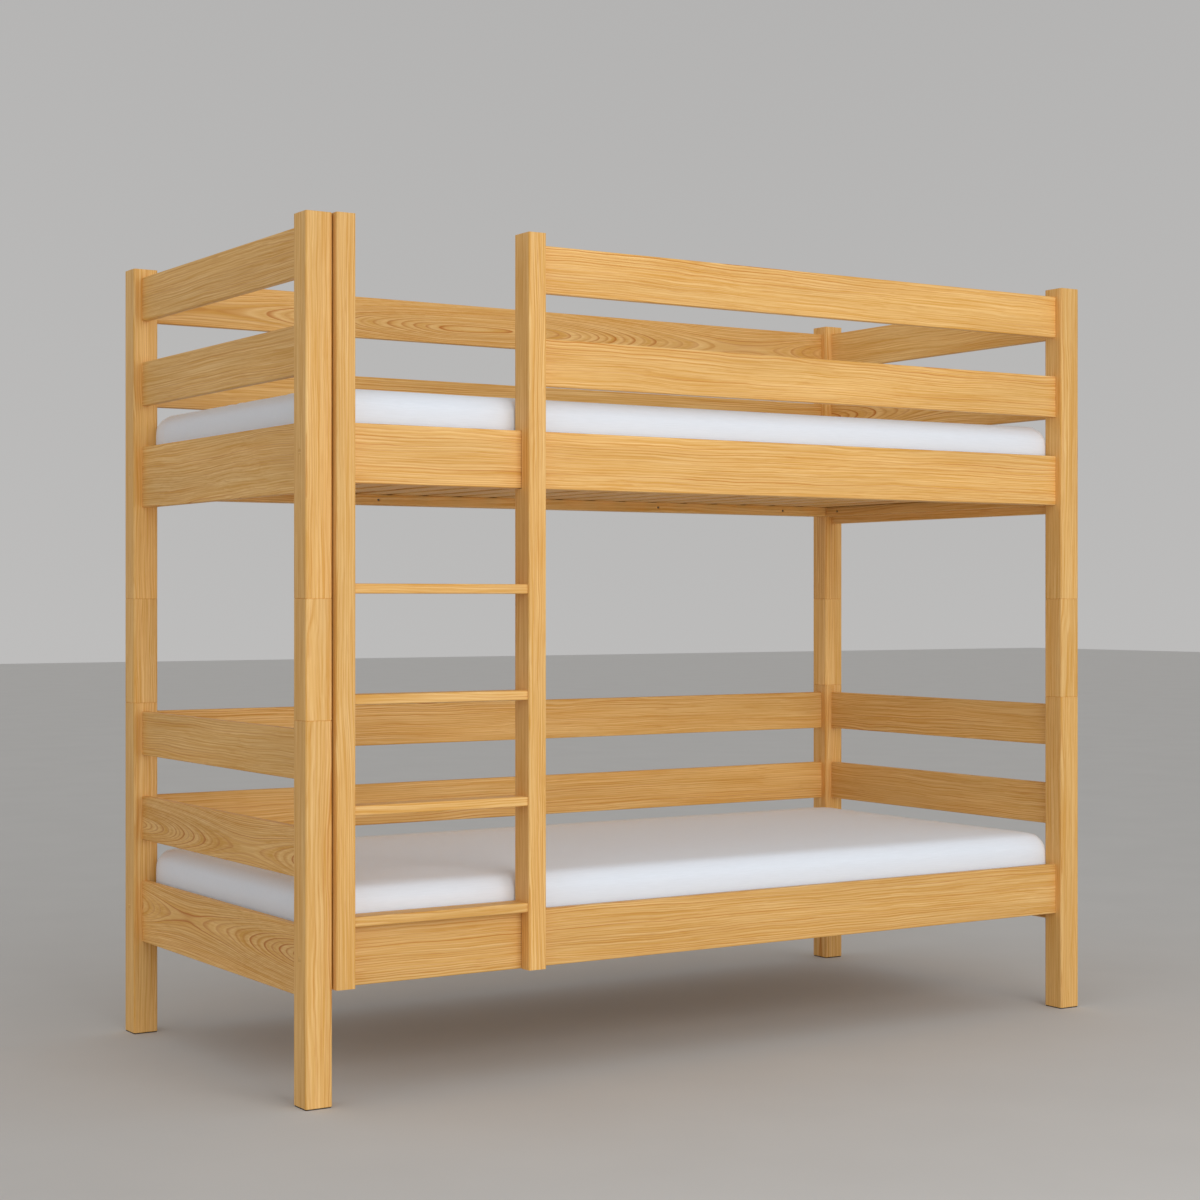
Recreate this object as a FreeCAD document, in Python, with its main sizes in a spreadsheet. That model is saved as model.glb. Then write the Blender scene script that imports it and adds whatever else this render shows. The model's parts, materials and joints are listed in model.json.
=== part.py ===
"""Bunk bed with ladder: two pine bed frames stacked on four spacer posts.

Millimetres. X runs along the bed, left end first. Y runs from the ladder side to the back.
Z is up from the floor, and the origin is under the middle of the whole bed.
Each bed frame has four posts, four rails round the slats and guard boards above the rails.
"""

import FreeCAD, Part
import os
import re
import Sketcher

# Driving sizes: name, millimetres or a count, what it is.
SIZES = [
    ("frame_length", 2080, "outside length over the posts"),
    ("frame_width", 978, "outside width over the posts, ladder left out"),
    ("post_size", 58, "square section of a post"),
    ("post_round", 5, "radius of a post's long edges"),
    ("post_top", 20, "post standing above the highest guard board"),
    ("end_chamfer", 1, "chamfer round the ends of posts and spacers"),
    ("spacer_height", 240, "spacer between the two frames"),
    ("pad_thickness", 2, "felt pad under each foot"),
    ("pad_inset", 1.5, "felt pad set in from the post's faces"),
    ("board_thickness", 18, "every rail and guard board"),
    ("board_round", 2.5, "radius of a board's long edges"),
    ("rail_bottom", 230, "underside of a side rail above the post's foot"),
    ("rail_height", 120, "side rail"),
    ("end_rail_drop", 20, "end rail reaching below the side rails"),
    ("guard_height", 100, "guard board"),
    ("guard_gap", 95, "gap under each guard board"),
    ("tenon_length", 18, "tenon on a board's end"),
    ("tenon_thickness", 10, "tenon"),
    ("tenon_shoulder", 10, "shoulder above and below a tenon"),
    ("mortise_end_gap", 1, "glue room past a tenon's end"),
    ("fit_clearance", 0.1, "clearance on each side of a joint"),
    ("batten_width", 26, "batten that carries the slats"),
    ("batten_height", 25, "batten that carries the slats"),
    ("batten_end_gap", 1, "gap past a batten's end"),
    ("batten_round", 1.5, "radius of a batten's long edges"),
    ("side_screw_count", 5, "screws in a side batten"),
    ("side_screw_margin", 153, "first screw from a side batten's end"),
    ("end_screw_count", 2, "screws in an end batten"),
    ("end_screw_margin", 49, "first screw from an end batten's end"),
    ("slat_count", 20, "slats in one bed"),
    ("slat_width", 68, "slat"),
    ("slat_thickness", 18, "slat"),
    ("slat_round", 2, "radius of a slat's long edges"),
    ("slat_margin", 17, "first slat from the post's inner face"),
    ("slat_end_gap", 1.5, "gap between a slat's end and the side rail"),
    ("mattress_thickness", 150, "mattress"),
    ("mattress_gap", 1.5, "mattress to post, and to the ladder's stile"),
    ("mattress_rest", 0.3, "mattress above the slats"),
    ("ladder_projection", 14, "stile's front face in front of the posts"),
    ("ladder_post_gap", 2, "gap between the left post and the left stile"),
    ("ladder_clear_width", 398, "between the stiles"),
    ("stile_width", 42, "stile"),
    ("stile_overhang", 8, "stile reaching behind the side rails, above and below them"),
    ("stile_round", 4, "radius of a stile's long edges"),
    ("lap_gap", 1, "gap under a side rail in the stile's notch"),
    ("tread_count", 4, "treads"),
    ("tread_thickness", 20, "tread"),
    ("tread_round", 3, "radius of a tread's long edges"),
    ("tread_front_setback", 6, "tread behind the stile's front face"),
    ("tread_back_setback", 4, "tread in front of the stile's back face"),
    ("tread_housing", 12, "tread let into each stile"),
    ("bolt_radius", 3, "frame bolt and ladder bolt"),
    ("bolt_head_radius", 6, "frame bolt head"),
    ("bolt_head_height", 5, "frame bolt head"),
    ("bolt_reach", 53, "frame bolt past the post's inner face"),
    ("plug_radius", 7, "wooden plug over a frame bolt"),
    ("plug_depth", 6, "wooden plug over a frame bolt"),
    ("nut_radius", 5, "barrel nut"),
    ("nut_length", 14, "barrel nut"),
    ("nut_distance", 45, "barrel nut from the post's inner face"),
    ("pin_radius", 6, "stacking pin"),
    ("pin_depth", 40, "stacking pin in each post end"),
    ("ladder_bolt_length", 45, "ladder bolt"),
    ("ladder_bolt_drop", 30, "ladder bolt below the rail's top edge, clear of the frame bolt"),
    ("screw_radius", 2.2, "batten screw and slat screw"),
    ("screw_head_radius", 4.2, "batten screw and slat screw"),
    ("screw_head_height", 3, "batten screw and slat screw"),
    ("batten_screw_length", 40, "batten screw"),
    ("screw_spacing_clearance", 1, "slat screw above the batten screws"),
]

# Places worked out from the driving sizes.
LEFT = "(-frame_length / 2)"
RIGHT = "(frame_length / 2)"
FRONT = "((ladder_projection - frame_width) / 2)"
BACK = "((ladder_projection + frame_width) / 2)"
MIDDLE_Y = "(ladder_projection / 2)"
POST_HEIGHT = "(rail_bottom + rail_height + 2 * (guard_gap + guard_height) + post_top)"
BED_FOOT = {"lower": "pad_thickness", "upper": f"(pad_thickness + {POST_HEIGHT} + spacer_height)"}
BOARD_INSET = "((post_size + board_thickness) / 2)"  # outer post face to a board's inner face
BATTEN_INSET = f"({BOARD_INSET} + batten_width)"
MATTRESS_INSET = f"({BOARD_INSET} + stile_overhang + mattress_gap)"
SPAN_LENGTH = "(frame_length - 2 * post_size)"
SPAN_WIDTH = "(frame_width - 2 * post_size)"
BATTEN_SPAN = {
    "x": f"({SPAN_LENGTH} - 2 * batten_end_gap)",
    "y": f"(frame_width - 2 * ({BATTEN_INSET} + batten_end_gap))",
}
STILE_DEPTH = f"(ladder_projection + {BOARD_INSET} + stile_overhang)"
STILE_X = {
    "left": f"({LEFT} + post_size + ladder_post_gap + stile_width / 2)",
    "right": f"({LEFT} + post_size + ladder_post_gap + 1.5 * stile_width + ladder_clear_width)",
}
STILE_RIGHT_FACE = f"({STILE_X['right']} + stile_width / 2)"
TREAD_DEPTH = f"({STILE_DEPTH} - tread_front_setback - tread_back_setback)"
TREAD_Y = f"({FRONT} - ladder_projection + tread_front_setback + {TREAD_DEPTH} / 2)"
TREAD_PITCH = f"(({POST_HEIGHT} + spacer_height - rail_height) / tread_count)"
MORTISE_DEPTH = "(tenon_length + mortise_end_gap)"
SLAT_PITCH = f"(({SPAN_LENGTH} - 2 * slat_margin - slat_width) / (slat_count - 1))"
SLAT_BOTTOM = "(rail_bottom + batten_height)"  # above the post's foot
SLAT_SCREW_GRIP = "(batten_height / 2 - screw_radius - screw_spacing_clearance)"
BATTEN_SCREW_HEIGHT = "(rail_bottom + batten_height / 2)"  # above the post's foot
RAIL_MIDDLE = "(rail_bottom + rail_height / 2)"  # above the post's foot
LADDER_BOLT_HEIGHT = "(rail_height - ladder_bolt_drop)"  # above the rail's underside

# A board's bottom and height above its post's foot.
BOARD_LEVELS = {
    "rail": ("rail_bottom", "rail_height"),
    "end_rail": ("(rail_bottom - end_rail_drop)", "(rail_height + end_rail_drop)"),
    "guard_low": ("(rail_bottom + rail_height + guard_gap)", "guard_height"),
    "guard_high": ("(rail_bottom + rail_height + 2 * guard_gap + guard_height)", "guard_height"),
}
GUARDS = ("guard_low", "guard_high")

# Each corner: post centre, and the signs of the directions that point into the bed.
CORNERS = {
    "front_left": (f"({LEFT} + post_size / 2)", f"({FRONT} + post_size / 2)", 1, 1),
    "front_right": (f"({RIGHT} - post_size / 2)", f"({FRONT} + post_size / 2)", -1, 1),
    "back_left": (f"({LEFT} + post_size / 2)", f"({BACK} - post_size / 2)", 1, -1),
    "back_right": (f"({RIGHT} - post_size / 2)", f"({BACK} - post_size / 2)", -1, -1),
}

# Each side of a bed: board centre, direction of its length, sign towards the bed's inside.
SIDES = {
    "front": ("0", f"({FRONT} + post_size / 2)", "x", 1),
    "back": ("0", f"({BACK} - post_size / 2)", "x", -1),
    "left": (f"({LEFT} + post_size / 2)", MIDDLE_Y, "y", 1),
    "right": (f"({RIGHT} - post_size / 2)", MIDDLE_Y, "y", -1),
}

doc = FreeCAD.newDocument("bunk_bed")
sheet = doc.addObject("Spreadsheet::Sheet", "Sizes")
for row, (alias, amount, meaning) in enumerate(SIZES, start=1):
    sheet.set(f"A{row}", alias)
    sheet.set(f"B{row}", str(amount))
    sheet.set(f"C{row}", meaning)
    sheet.setAlias(f"B{row}", alias)
doc.recompute()

ALIAS_WORD = re.compile(r"\b(" + "|".join(alias for alias, _, _ in SIZES) + r")\b")
nodes = []


def in_sheet(formula):
    """The formula as FreeCAD reads it, with each alias looked up in the sheet."""
    return ALIAS_WORD.sub(r"Sizes.\1", str(formula))


def size(formula):
    """The formula's present value, for geometry that can't be bound."""
    return float(sheet.evalExpression(in_sheet(formula)))


def bind(thing, **formulas):
    """Bind properties of a document object to formulas of the sheet's aliases."""
    for prop, formula in formulas.items():
        thing.setExpression(prop, in_sheet(formula))


def bind_place(thing, x="0", y="0", z="0"):
    """Bind an object's place."""
    for axis, formula in zip("xyz", (x, y, z)):
        thing.setExpression(f".Placement.Base.{axis}", in_sheet(formula))


def new_body(label, x="0", y="0", z="0"):
    """An empty body at a bound place, listed as a node."""
    body = doc.addObject("PartDesign::Body", label)
    body.Label = label
    bind_place(body, x, y, z)
    nodes.append(body)
    return body


def origin_item(body, role):
    """One of the body's own origin planes or axes."""
    return next(item for item in body.Origin.OriginFeatures if item.Role == role)


def outline(body, role, corners):
    """A closed sketch of straight lines through corners, each a pair of formulas."""
    sketch = body.newObject("Sketcher::SketchObject", f"{body.Name}_outline")
    sketch.AttachmentSupport = [(origin_item(body, role), "")]
    sketch.MapMode = "FlatFace"
    points = [FreeCAD.Vector(size(across), size(up), 0) for across, up in corners]
    for start, end in zip(points, points[1:] + points[:1]):
        sketch.addGeometry(Part.LineSegment(start, end))
    for index, (point, formulas) in enumerate(zip(points, corners)):
        before = (index - 1) % len(points)
        sketch.addConstraint(Sketcher.Constraint("Coincident", before, 2, index, 1))
        for kind, axis, amount, formula in (
            ("DistanceX", -2, point.x, formulas[0]),
            ("DistanceY", -1, point.y, formulas[1]),
        ):
            if str(formula) == "0":
                sketch.addConstraint(Sketcher.Constraint("PointOnObject", index, 1, axis))
                continue
            number = sketch.addConstraint(Sketcher.Constraint(kind, -1, 1, index, 1, amount))
            sketch.setExpression(f"Constraints[{number}]", in_sheet(formula))
    return sketch


def pad(body, sketch, length, both_ways=False):
    """Pad a sketch, away from its plane or equally to both sides of it."""
    feature = body.newObject("PartDesign::Pad", f"{body.Name}_pad")
    feature.Profile = sketch
    if both_ways:
        feature.SideType = "Symmetric"
    bind(feature, Length=length)
    doc.recompute()
    return feature


def long_edges(shape, axis):
    """Names of the straight edges that run along an axis for most of the shape."""
    reach = getattr(shape.BoundBox, axis.upper() + "Length")
    names = []
    for number, edge in enumerate(shape.Edges, start=1):
        start, end = (vertex.Point for vertex in (edge.Vertexes[0], edge.Vertexes[-1]))
        run = abs(getattr(end - start, axis))
        if abs(run - edge.Length) < 0.001 and run > 0.02 * reach:
            names.append(f"Edge{number}")
    return names


def round_edges(body, base, axis, radius):
    """Round every edge of the base that runs along an axis."""
    feature = body.newObject("PartDesign::Fillet", f"{body.Name}_rounding")
    feature.Base = (base, long_edges(base.Shape, axis))
    bind(feature, Radius=radius)
    doc.recompute()
    return feature


def chamfer_ends(body, base):
    """Chamfer the edges round the lowest and the highest face."""
    names = []
    box = base.Shape.BoundBox
    for number, edge in enumerate(base.Shape.Edges, start=1):
        for level in (box.ZMin, box.ZMax):
            if all(abs(vertex.Z - level) < 0.001 for vertex in edge.Vertexes):
                names.append(f"Edge{number}")
    feature = body.newObject("PartDesign::Chamfer", f"{body.Name}_chamfer")
    feature.Base = (base, names)
    bind(feature, Size="end_chamfer")
    doc.recompute()
    return feature


def box_feature(kind, body, name, centre, extent):
    """A box added to or cut from a body; centre is its middle in X and Y and its bottom in Z."""
    feature = body.newObject(f"PartDesign::{kind}Box", f"{body.Name}_{name}")
    length, width, height = extent
    bind(feature, Length=length, Width=width, Height=height)
    x, y, bottom = centre
    bind_place(feature, f"{x} - {length} / 2", f"{y} - {width} / 2", bottom)
    return feature


TURN_ALONG = {
    "x": FreeCAD.Rotation(FreeCAD.Vector(0, 1, 0), 90),
    "y": FreeCAD.Rotation(FreeCAD.Vector(1, 0, 0), -90),
    "z": FreeCAD.Rotation(),
}


def round_hole(body, name, along, start, depth, radius):
    """A round hole from its start along an axis, towards plus."""
    feature = body.newObject("PartDesign::SubtractiveCylinder", f"{body.Name}_{name}")
    feature.Placement = FreeCAD.Placement(FreeCAD.Vector(), TURN_ALONG[along])
    bind(feature, Radius=radius, Height=depth)
    bind_place(feature, *start)
    return feature


def cone_hole(body, name, along, start, depth, radius_start, radius_end):
    """A conical hole from its start along an axis, towards plus."""
    feature = body.newObject("PartDesign::SubtractiveCone", f"{body.Name}_{name}")
    feature.Placement = FreeCAD.Placement(FreeCAD.Vector(), TURN_ALONG[along])
    bind(feature, Radius1=radius_start, Radius2=radius_end, Height=depth)
    bind_place(feature, *start)
    return feature


def repeat(body, original, role, span, count):
    """Repeat a feature in a row along one of the body's own axes."""
    feature = body.newObject("PartDesign::LinearPattern", f"{body.Name}_row")
    feature.Originals = [original]
    feature.Direction = (origin_item(body, role), [""])
    bind(feature, Length=span, Occurrences=count)
    body.Tip = feature
    doc.recompute()
    return feature


def square_post(label, centre_x, centre_y, foot, height):
    """A square post with rounded long edges and chamfered ends."""
    body = new_body(label, centre_x, centre_y, foot)
    half = "post_size / 2"
    corners = [(f"-{half}", f"-{half}"), (half, f"-{half}"), (half, half), (f"-{half}", half)]
    block = pad(body, outline(body, "XY_Plane", corners), height)
    chamfer_ends(body, round_edges(body, block, "z", "post_round"))
    return body


def pin_hole(body, name, bottom):
    """The hole for half a stacking pin, in a post's end."""
    depth = "pin_depth + mortise_end_gap"
    round_hole(body, name, "z", ("0", "0", bottom), depth, "pin_radius + fit_clearance")


def mortise(body, name, along, towards, face, level, centre_across="0"):
    """A mortise for a board's tenon, cut in from a face at a distance from the body's middle."""
    bottom, height = level
    middle = f"{towards} * ({face} - {MORTISE_DEPTH} / 2)"
    wide = "(tenon_thickness + 2 * fit_clearance)"
    high = f"({height} - 2 * tenon_shoulder + 2 * fit_clearance)"
    low = f"({bottom} + tenon_shoulder - fit_clearance)"
    if along == "x":
        centre, extent = (middle, centre_across, low), (MORTISE_DEPTH, wide, high)
    else:
        centre, extent = (centre_across, middle, low), (wide, MORTISE_DEPTH, high)
    box_feature("Subtractive", body, name, centre, extent)


def bed_post(bed, corner):
    """A bed frame's post, with mortises for the boards that meet it."""
    centre_x, centre_y, into_x, into_y = CORNERS[corner]
    foot = BED_FOOT[bed]
    body = square_post(f"{bed}_post_{corner}", centre_x, centre_y, foot, POST_HEIGHT)
    side_levels = ["rail"]
    if corner.startswith("back") or (bed == "upper" and corner == "front_right"):
        side_levels.extend(GUARDS)
    for name in side_levels:
        mortise(body, f"side_{name}", "x", into_x, "post_size / 2", BOARD_LEVELS[name])
    for name in ("end_rail",) + GUARDS:
        mortise(body, f"end_{name}", "y", into_y, "post_size / 2", BOARD_LEVELS[name])
    if bed == "lower":
        pin_hole(body, "pin_hole", f"{POST_HEIGHT} - pin_depth - mortise_end_gap")
    else:
        pin_hole(body, "pin_hole", "0")
    through = ("-post_size / 2", "0", RAIL_MIDDLE)
    round_hole(body, "bolt_hole", "x", through, "post_size", "bolt_radius + fit_clearance")
    recess = "(plug_depth + bolt_head_height)"
    start = "-post_size / 2" if into_x > 0 else f"post_size / 2 - {recess}"
    round_hole(body, "plug_hole", "x", (start, "0", RAIL_MIDDLE), recess, "plug_radius")
    doc.recompute()


def board(label, side, level, foot, centre=None, span=None):
    """A rail or guard board between two faces, with a tenon on each end. Z is from its foot."""
    side_x, side_y, along, _ = SIDES[side]
    bottom, height = BOARD_LEVELS[level]
    span = span or (SPAN_LENGTH if along == "x" else SPAN_WIDTH)
    body = new_body(label, centre or side_x, side_y, f"{foot} + {bottom}")
    half = "board_thickness / 2"
    corners = [(f"-{half}", "0"), (half, "0"), (half, height), (f"-{half}", height)]
    role = "YZ_Plane" if along == "x" else "XZ_Plane"
    plank = pad(body, outline(body, role, corners), span, both_ways=True)
    round_edges(body, plank, along, "board_round")
    reach = f"({span} + 2 * tenon_length)"
    high = f"({height} - 2 * tenon_shoulder)"
    extent = (reach, "tenon_thickness", high) if along == "x" else ("tenon_thickness", reach, high)
    box_feature("Additive", body, "tenons", ("0", "0", "tenon_shoulder"), extent)
    doc.recompute()
    return body


def screw_places(span, count, margin):
    """First screw and row length of a batten's screws, from the batten's middle."""
    return f"(-{span} / 2 + {margin})", f"({span} - 2 * {margin})"


def batten_screw_row(side):
    """Batten span, screw count, first screw and row length on one side of a bed."""
    along = SIDES[side][2]
    kind = "side" if along == "x" else "end"
    first, row = screw_places(BATTEN_SPAN[along], f"{kind}_screw_count", f"{kind}_screw_margin")
    return along, f"{kind}_screw_count", first, row


def pilot_holes(body, side, level_bottom):
    """The batten screws' holes in a rail, from its inner face outwards."""
    along, count, first, row = batten_screw_row(side)
    inwards = SIDES[side][3]
    depth = "(batten_screw_length - batten_width)"
    start = f"{inwards} * board_thickness / 2" + (f" - {depth}" if inwards > 0 else "")
    height = f"{BATTEN_SCREW_HEIGHT} - {level_bottom}"
    across = "y" if along == "x" else "x"
    place = (first, start, height) if along == "x" else (start, first, height)
    hole = round_hole(body, "pilot_hole", across, place, depth, "screw_radius")
    doc.recompute()
    repeat(body, hole, f"{along.upper()}_Axis", row, count)


def rail_bolt_holes(body, side):
    """The frame bolts' holes in a side rail's ends, and the barrel nuts' holes across them."""
    inwards = SIDES[side][3]
    middle = "rail_height / 2"
    reach = "(bolt_reach + tenon_length + mortise_end_gap)"
    nut_hole = "(board_thickness / 2 + nut_length / 2)"
    for name, sign in (("left", -1), ("right", 1)):
        start = f"{sign} * ({SPAN_LENGTH} / 2 + tenon_length - {reach} / 2) - {reach} / 2"
        bore = (start, "0", middle)
        round_hole(body, f"bolt_hole_{name}", "x", bore, reach, "bolt_radius + fit_clearance")
        nut_x = f"{sign} * ({SPAN_LENGTH} / 2 - nut_distance)"
        nut_y = "-nut_length / 2" if inwards > 0 else f"nut_length / 2 - {nut_hole}"
        round_hole(body, f"nut_hole_{name}", "y", (nut_x, nut_y, middle), nut_hole, "nut_radius")
    doc.recompute()


def ladder_bolt_holes(body):
    """The ladder bolts' countersunk holes in a front rail."""
    for name, stile_x in STILE_X.items():
        shank = (stile_x, "-board_thickness / 2", LADDER_BOLT_HEIGHT)
        round_hole(body, f"ladder_{name}", "y", shank, "board_thickness", "bolt_radius")
        rim = (stile_x, "board_thickness / 2 - bolt_head_height", LADDER_BOLT_HEIGHT)
        cone_hole(
            body, f"sink_{name}", "y", rim, "bolt_head_height", "bolt_radius", "bolt_head_radius"
        )
    doc.recompute()


def batten(bed, side):
    """A batten screwed along the inside of a rail, with countersunk screw holes."""
    side_x, side_y, along, inwards = SIDES[side]
    offset = f"{inwards} * (board_thickness / 2 + batten_width / 2)"
    centre_x = side_x if along == "x" else f"{side_x} + {offset}"
    centre_y = f"{side_y} + {offset}" if along == "x" else side_y
    body = new_body(f"{bed}_batten_{side}", centre_x, centre_y, f"{BED_FOOT[bed]} + rail_bottom")
    span = BATTEN_SPAN[along]
    extent = (span, "batten_width") if along == "x" else ("batten_width", span)
    stick = box_feature("Additive", body, "stick", ("0", "0", "0"), extent + ("batten_height",))
    doc.recompute()
    round_edges(body, stick, along, "batten_round")
    _, count, first, row = batten_screw_row(side)
    across = "y" if along == "x" else "x"
    middle = "batten_height / 2"
    face = "-batten_width / 2"
    sink = f"{inwards} * batten_width / 2" + (" - screw_head_height" if inwards > 0 else "")
    places = [(first, face, middle), (first, sink, middle)]
    if along == "y":
        places = [(start, along_row, up) for along_row, start, up in places]
    shank = round_hole(body, "screw_hole", across, places[0], "batten_width", "screw_radius")
    doc.recompute()
    repeat(body, shank, f"{along.upper()}_Axis", row, count)
    radii = ["screw_radius", "screw_head_radius"][::inwards]
    rim = cone_hole(body, "screw_sink", across, places[1], "screw_head_height", *radii)
    doc.recompute()
    repeat(body, rim, f"{along.upper()}_Axis", row, count)
    if along == "x":
        first_slat = f"(-{SPAN_LENGTH} / 2 + slat_margin + slat_width / 2)"
        depth = SLAT_SCREW_GRIP
        pilot = (first_slat, "0", f"batten_height - {depth}")
        hole = round_hole(body, "slat_pilot", "z", pilot, depth, "screw_radius")
        doc.recompute()
        span_of_slats = f"{SLAT_PITCH} * (slat_count - 1)"
        repeat(body, hole, "X_Axis", span_of_slats, "slat_count")


def slats(bed):
    """All the slats of one bed: separate boards in a row, screwed down at both ends."""
    start_x = f"({LEFT} + post_size + slat_margin + slat_width / 2)"
    body = new_body(f"{bed}_slats", start_x, MIDDLE_Y, f"{BED_FOOT[bed]} + {SLAT_BOTTOM}")
    length = f"(frame_width - 2 * {BOARD_INSET} - 2 * slat_end_gap)"
    extent = ("slat_width", length, "slat_thickness")
    plank = box_feature("Additive", body, "plank", ("0", "0", "0"), extent)
    doc.recompute()
    round_edges(body, plank, "y", "slat_round")
    for name, sign in (("front", -1), ("back", 1)):
        across = f"{sign} * (frame_width / 2 - {BOARD_INSET} - batten_width / 2)"
        round_hole(body, f"hole_{name}", "z", ("0", across, "0"), "slat_thickness", "screw_radius")
        rim = ("0", across, "slat_thickness - screw_head_height")
        radii = ("screw_radius", "screw_head_radius")
        cone_hole(body, f"sink_{name}", "z", rim, "screw_head_height", *radii)
    doc.recompute()
    row = body.newObject("PartDesign::LinearPattern", f"{body.Name}_row")
    row.TransformMode = "Whole shape"
    row.Direction = (origin_item(body, "X_Axis"), [""])
    bind(row, Length=f"{SLAT_PITCH} * (slat_count - 1)", Occurrences="slat_count")
    body.Tip = row
    doc.recompute()


def mattress(bed):
    """A plain mattress block, cut away at its corners round the posts."""
    bottom = f"{BED_FOOT[bed]} + {SLAT_BOTTOM} + slat_thickness + mattress_rest"
    body = new_body(f"{bed}_mattress", "0", MIDDLE_Y, bottom)
    long = f"(frame_length - 2 * {MATTRESS_INSET})"
    wide = f"(frame_width - 2 * {MATTRESS_INSET})"
    extent = (long, wide, "mattress_thickness")
    box_feature("Additive", body, "block", ("0", "0", "0"), extent)
    notch = f"(post_size + mattress_gap - {MATTRESS_INSET})"
    for corner, (_, _, into_x, into_y) in CORNERS.items():
        notch_x = f"{-into_x} * ({long} - {notch}) / 2"
        notch_y = f"{-into_y} * ({wide} - {notch}) / 2"
        cut = (notch, notch, "mattress_thickness")
        box_feature("Subtractive", body, f"notch_{corner}", (notch_x, notch_y, "0"), cut)
    doc.recompute()


def tread_bottom(number):
    """Underside of a tread, counted from 1 at the bottom, above the floor."""
    return f"(pad_thickness + rail_bottom + rail_height + {number - 1} * {TREAD_PITCH})"


def stile(side):
    """A ladder upright, notched over both front rails, with housings for the treads."""
    bottom = f"({BED_FOOT['lower']} + rail_bottom)"
    body = new_body(f"ladder_stile_{side}", STILE_X[side], FRONT, bottom)
    face, rail_face = "-ladder_projection", "(post_size - board_thickness) / 2"
    rear = f"({BOARD_INSET} + stile_overhang)"
    upper_rail = f"({POST_HEIGHT} + spacer_height)"
    top = f"({upper_rail} + {POST_HEIGHT} - rail_bottom)"
    corners = [
        (face, "0"),
        (rail_face, "0"),
        (rail_face, "rail_height"),
        (rear, "rail_height"),
        (rear, f"{upper_rail} - lap_gap"),
        (rail_face, f"{upper_rail} - lap_gap"),
        (rail_face, f"{upper_rail} + rail_height"),
        (rear, f"{upper_rail} + rail_height"),
        (rear, top),
        (face, top),
    ]
    blank = pad(body, outline(body, "YZ_Plane", corners), "stile_width", both_ways=True)
    round_edges(body, blank, "z", "stile_round")
    inwards = 1 if side == "left" else -1
    housing_y = f"{TREAD_Y} - {FRONT}"
    deep, high = "(tread_housing + mortise_end_gap)", "(tread_thickness + 2 * fit_clearance)"
    housing_x = f"{inwards} * (stile_width - {deep}) / 2"
    wide = f"({TREAD_DEPTH} + 2 * fit_clearance)"
    for number in range(1, TREADS + 1):
        low = f"{tread_bottom(number)} - {bottom} - fit_clearance"
        centre, extent = (housing_x, housing_y, low), (deep, wide, high)
        box_feature("Subtractive", body, f"housing_{number}", centre, extent)
    for name, level in (("lower", "0"), ("upper", upper_rail)):
        reach = "(ladder_bolt_length - board_thickness)"
        start = ("0", f"{rail_face} - {reach}", f"{level} + {LADDER_BOLT_HEIGHT}")
        round_hole(body, f"bolt_{name}", "y", start, reach, "bolt_radius")
    if side == "right":
        for name in GUARDS:
            low, height = BOARD_LEVELS[name]
            level = (f"({upper_rail} + {low} - rail_bottom)", height)
            mortise(body, name, "x", 1, "stile_width / 2", level, "post_size / 2")
    doc.recompute()


def tread(number):
    """A flat tread let into both stiles."""
    middle = f"(({STILE_X['left']} + {STILE_X['right']}) / 2)"
    body = new_body(f"ladder_tread_{number}", middle, TREAD_Y, tread_bottom(number))
    half = f"{TREAD_DEPTH} / 2"
    thick = "tread_thickness"
    corners = [(f"-{half}", "0"), (half, "0"), (half, thick), (f"-{half}", thick)]
    length = "ladder_clear_width + 2 * tread_housing"
    plank = pad(body, outline(body, "YZ_Plane", corners), length, both_ways=True)
    round_edges(body, plank, "x", "tread_round")


def group(label, solids):
    """A node of identical loose pieces."""
    piece = doc.addObject("Part::Feature", label)
    piece.Label = label
    piece.Shape = Part.makeCompound(solids)
    nodes.append(piece)


def vector(along, amount=1.0):
    """A vector along an axis."""
    return FreeCAD.Vector(*(amount if axis == along else 0.0 for axis in "xyz"))


def countersunk_screw(head_face, pointing, length, radius, head_radius, head_height):
    """A screw whose flat head face lies at a point, with its shank pointing the given way."""
    cone = Part.makeCone(head_radius, radius, head_height, head_face, pointing)
    shank_start = head_face + pointing * head_height
    shank = Part.makeCylinder(radius, length - head_height, shank_start, pointing)
    return cone.fuse(shank).removeSplitter()


def felt_pads():
    """A square felt pad with rounded corners under each foot."""
    side = size("post_size - 2 * pad_inset")
    solids = []
    for centre_x, centre_y, _, _ in CORNERS.values():
        start = FreeCAD.Vector(size(centre_x) - side / 2, size(centre_y) - side / 2, 0)
        block = Part.makeBox(side, side, size("pad_thickness"), start)
        upright = [edge for edge in block.Edges if abs(edge.Vertexes[0].Z - edge.Vertexes[1].Z) > 0.1]
        solids.append(block.makeFillet(size("post_round - pad_inset"), upright))
    group("felt_pads", solids)


def stacking_pins():
    """Two round pins in each corner, one at each joint of the stacked posts."""
    solids = []
    for centre_x, centre_y, _, _ in CORNERS.values():
        for joint in (f"pad_thickness + {POST_HEIGHT}", BED_FOOT["upper"]):
            foot = FreeCAD.Vector(size(centre_x), size(centre_y), size(f"{joint} - pin_depth"))
            solids.append(Part.makeCylinder(size("pin_radius"), size("2 * pin_depth"), foot))
    group("stacking_pins", solids)


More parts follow.
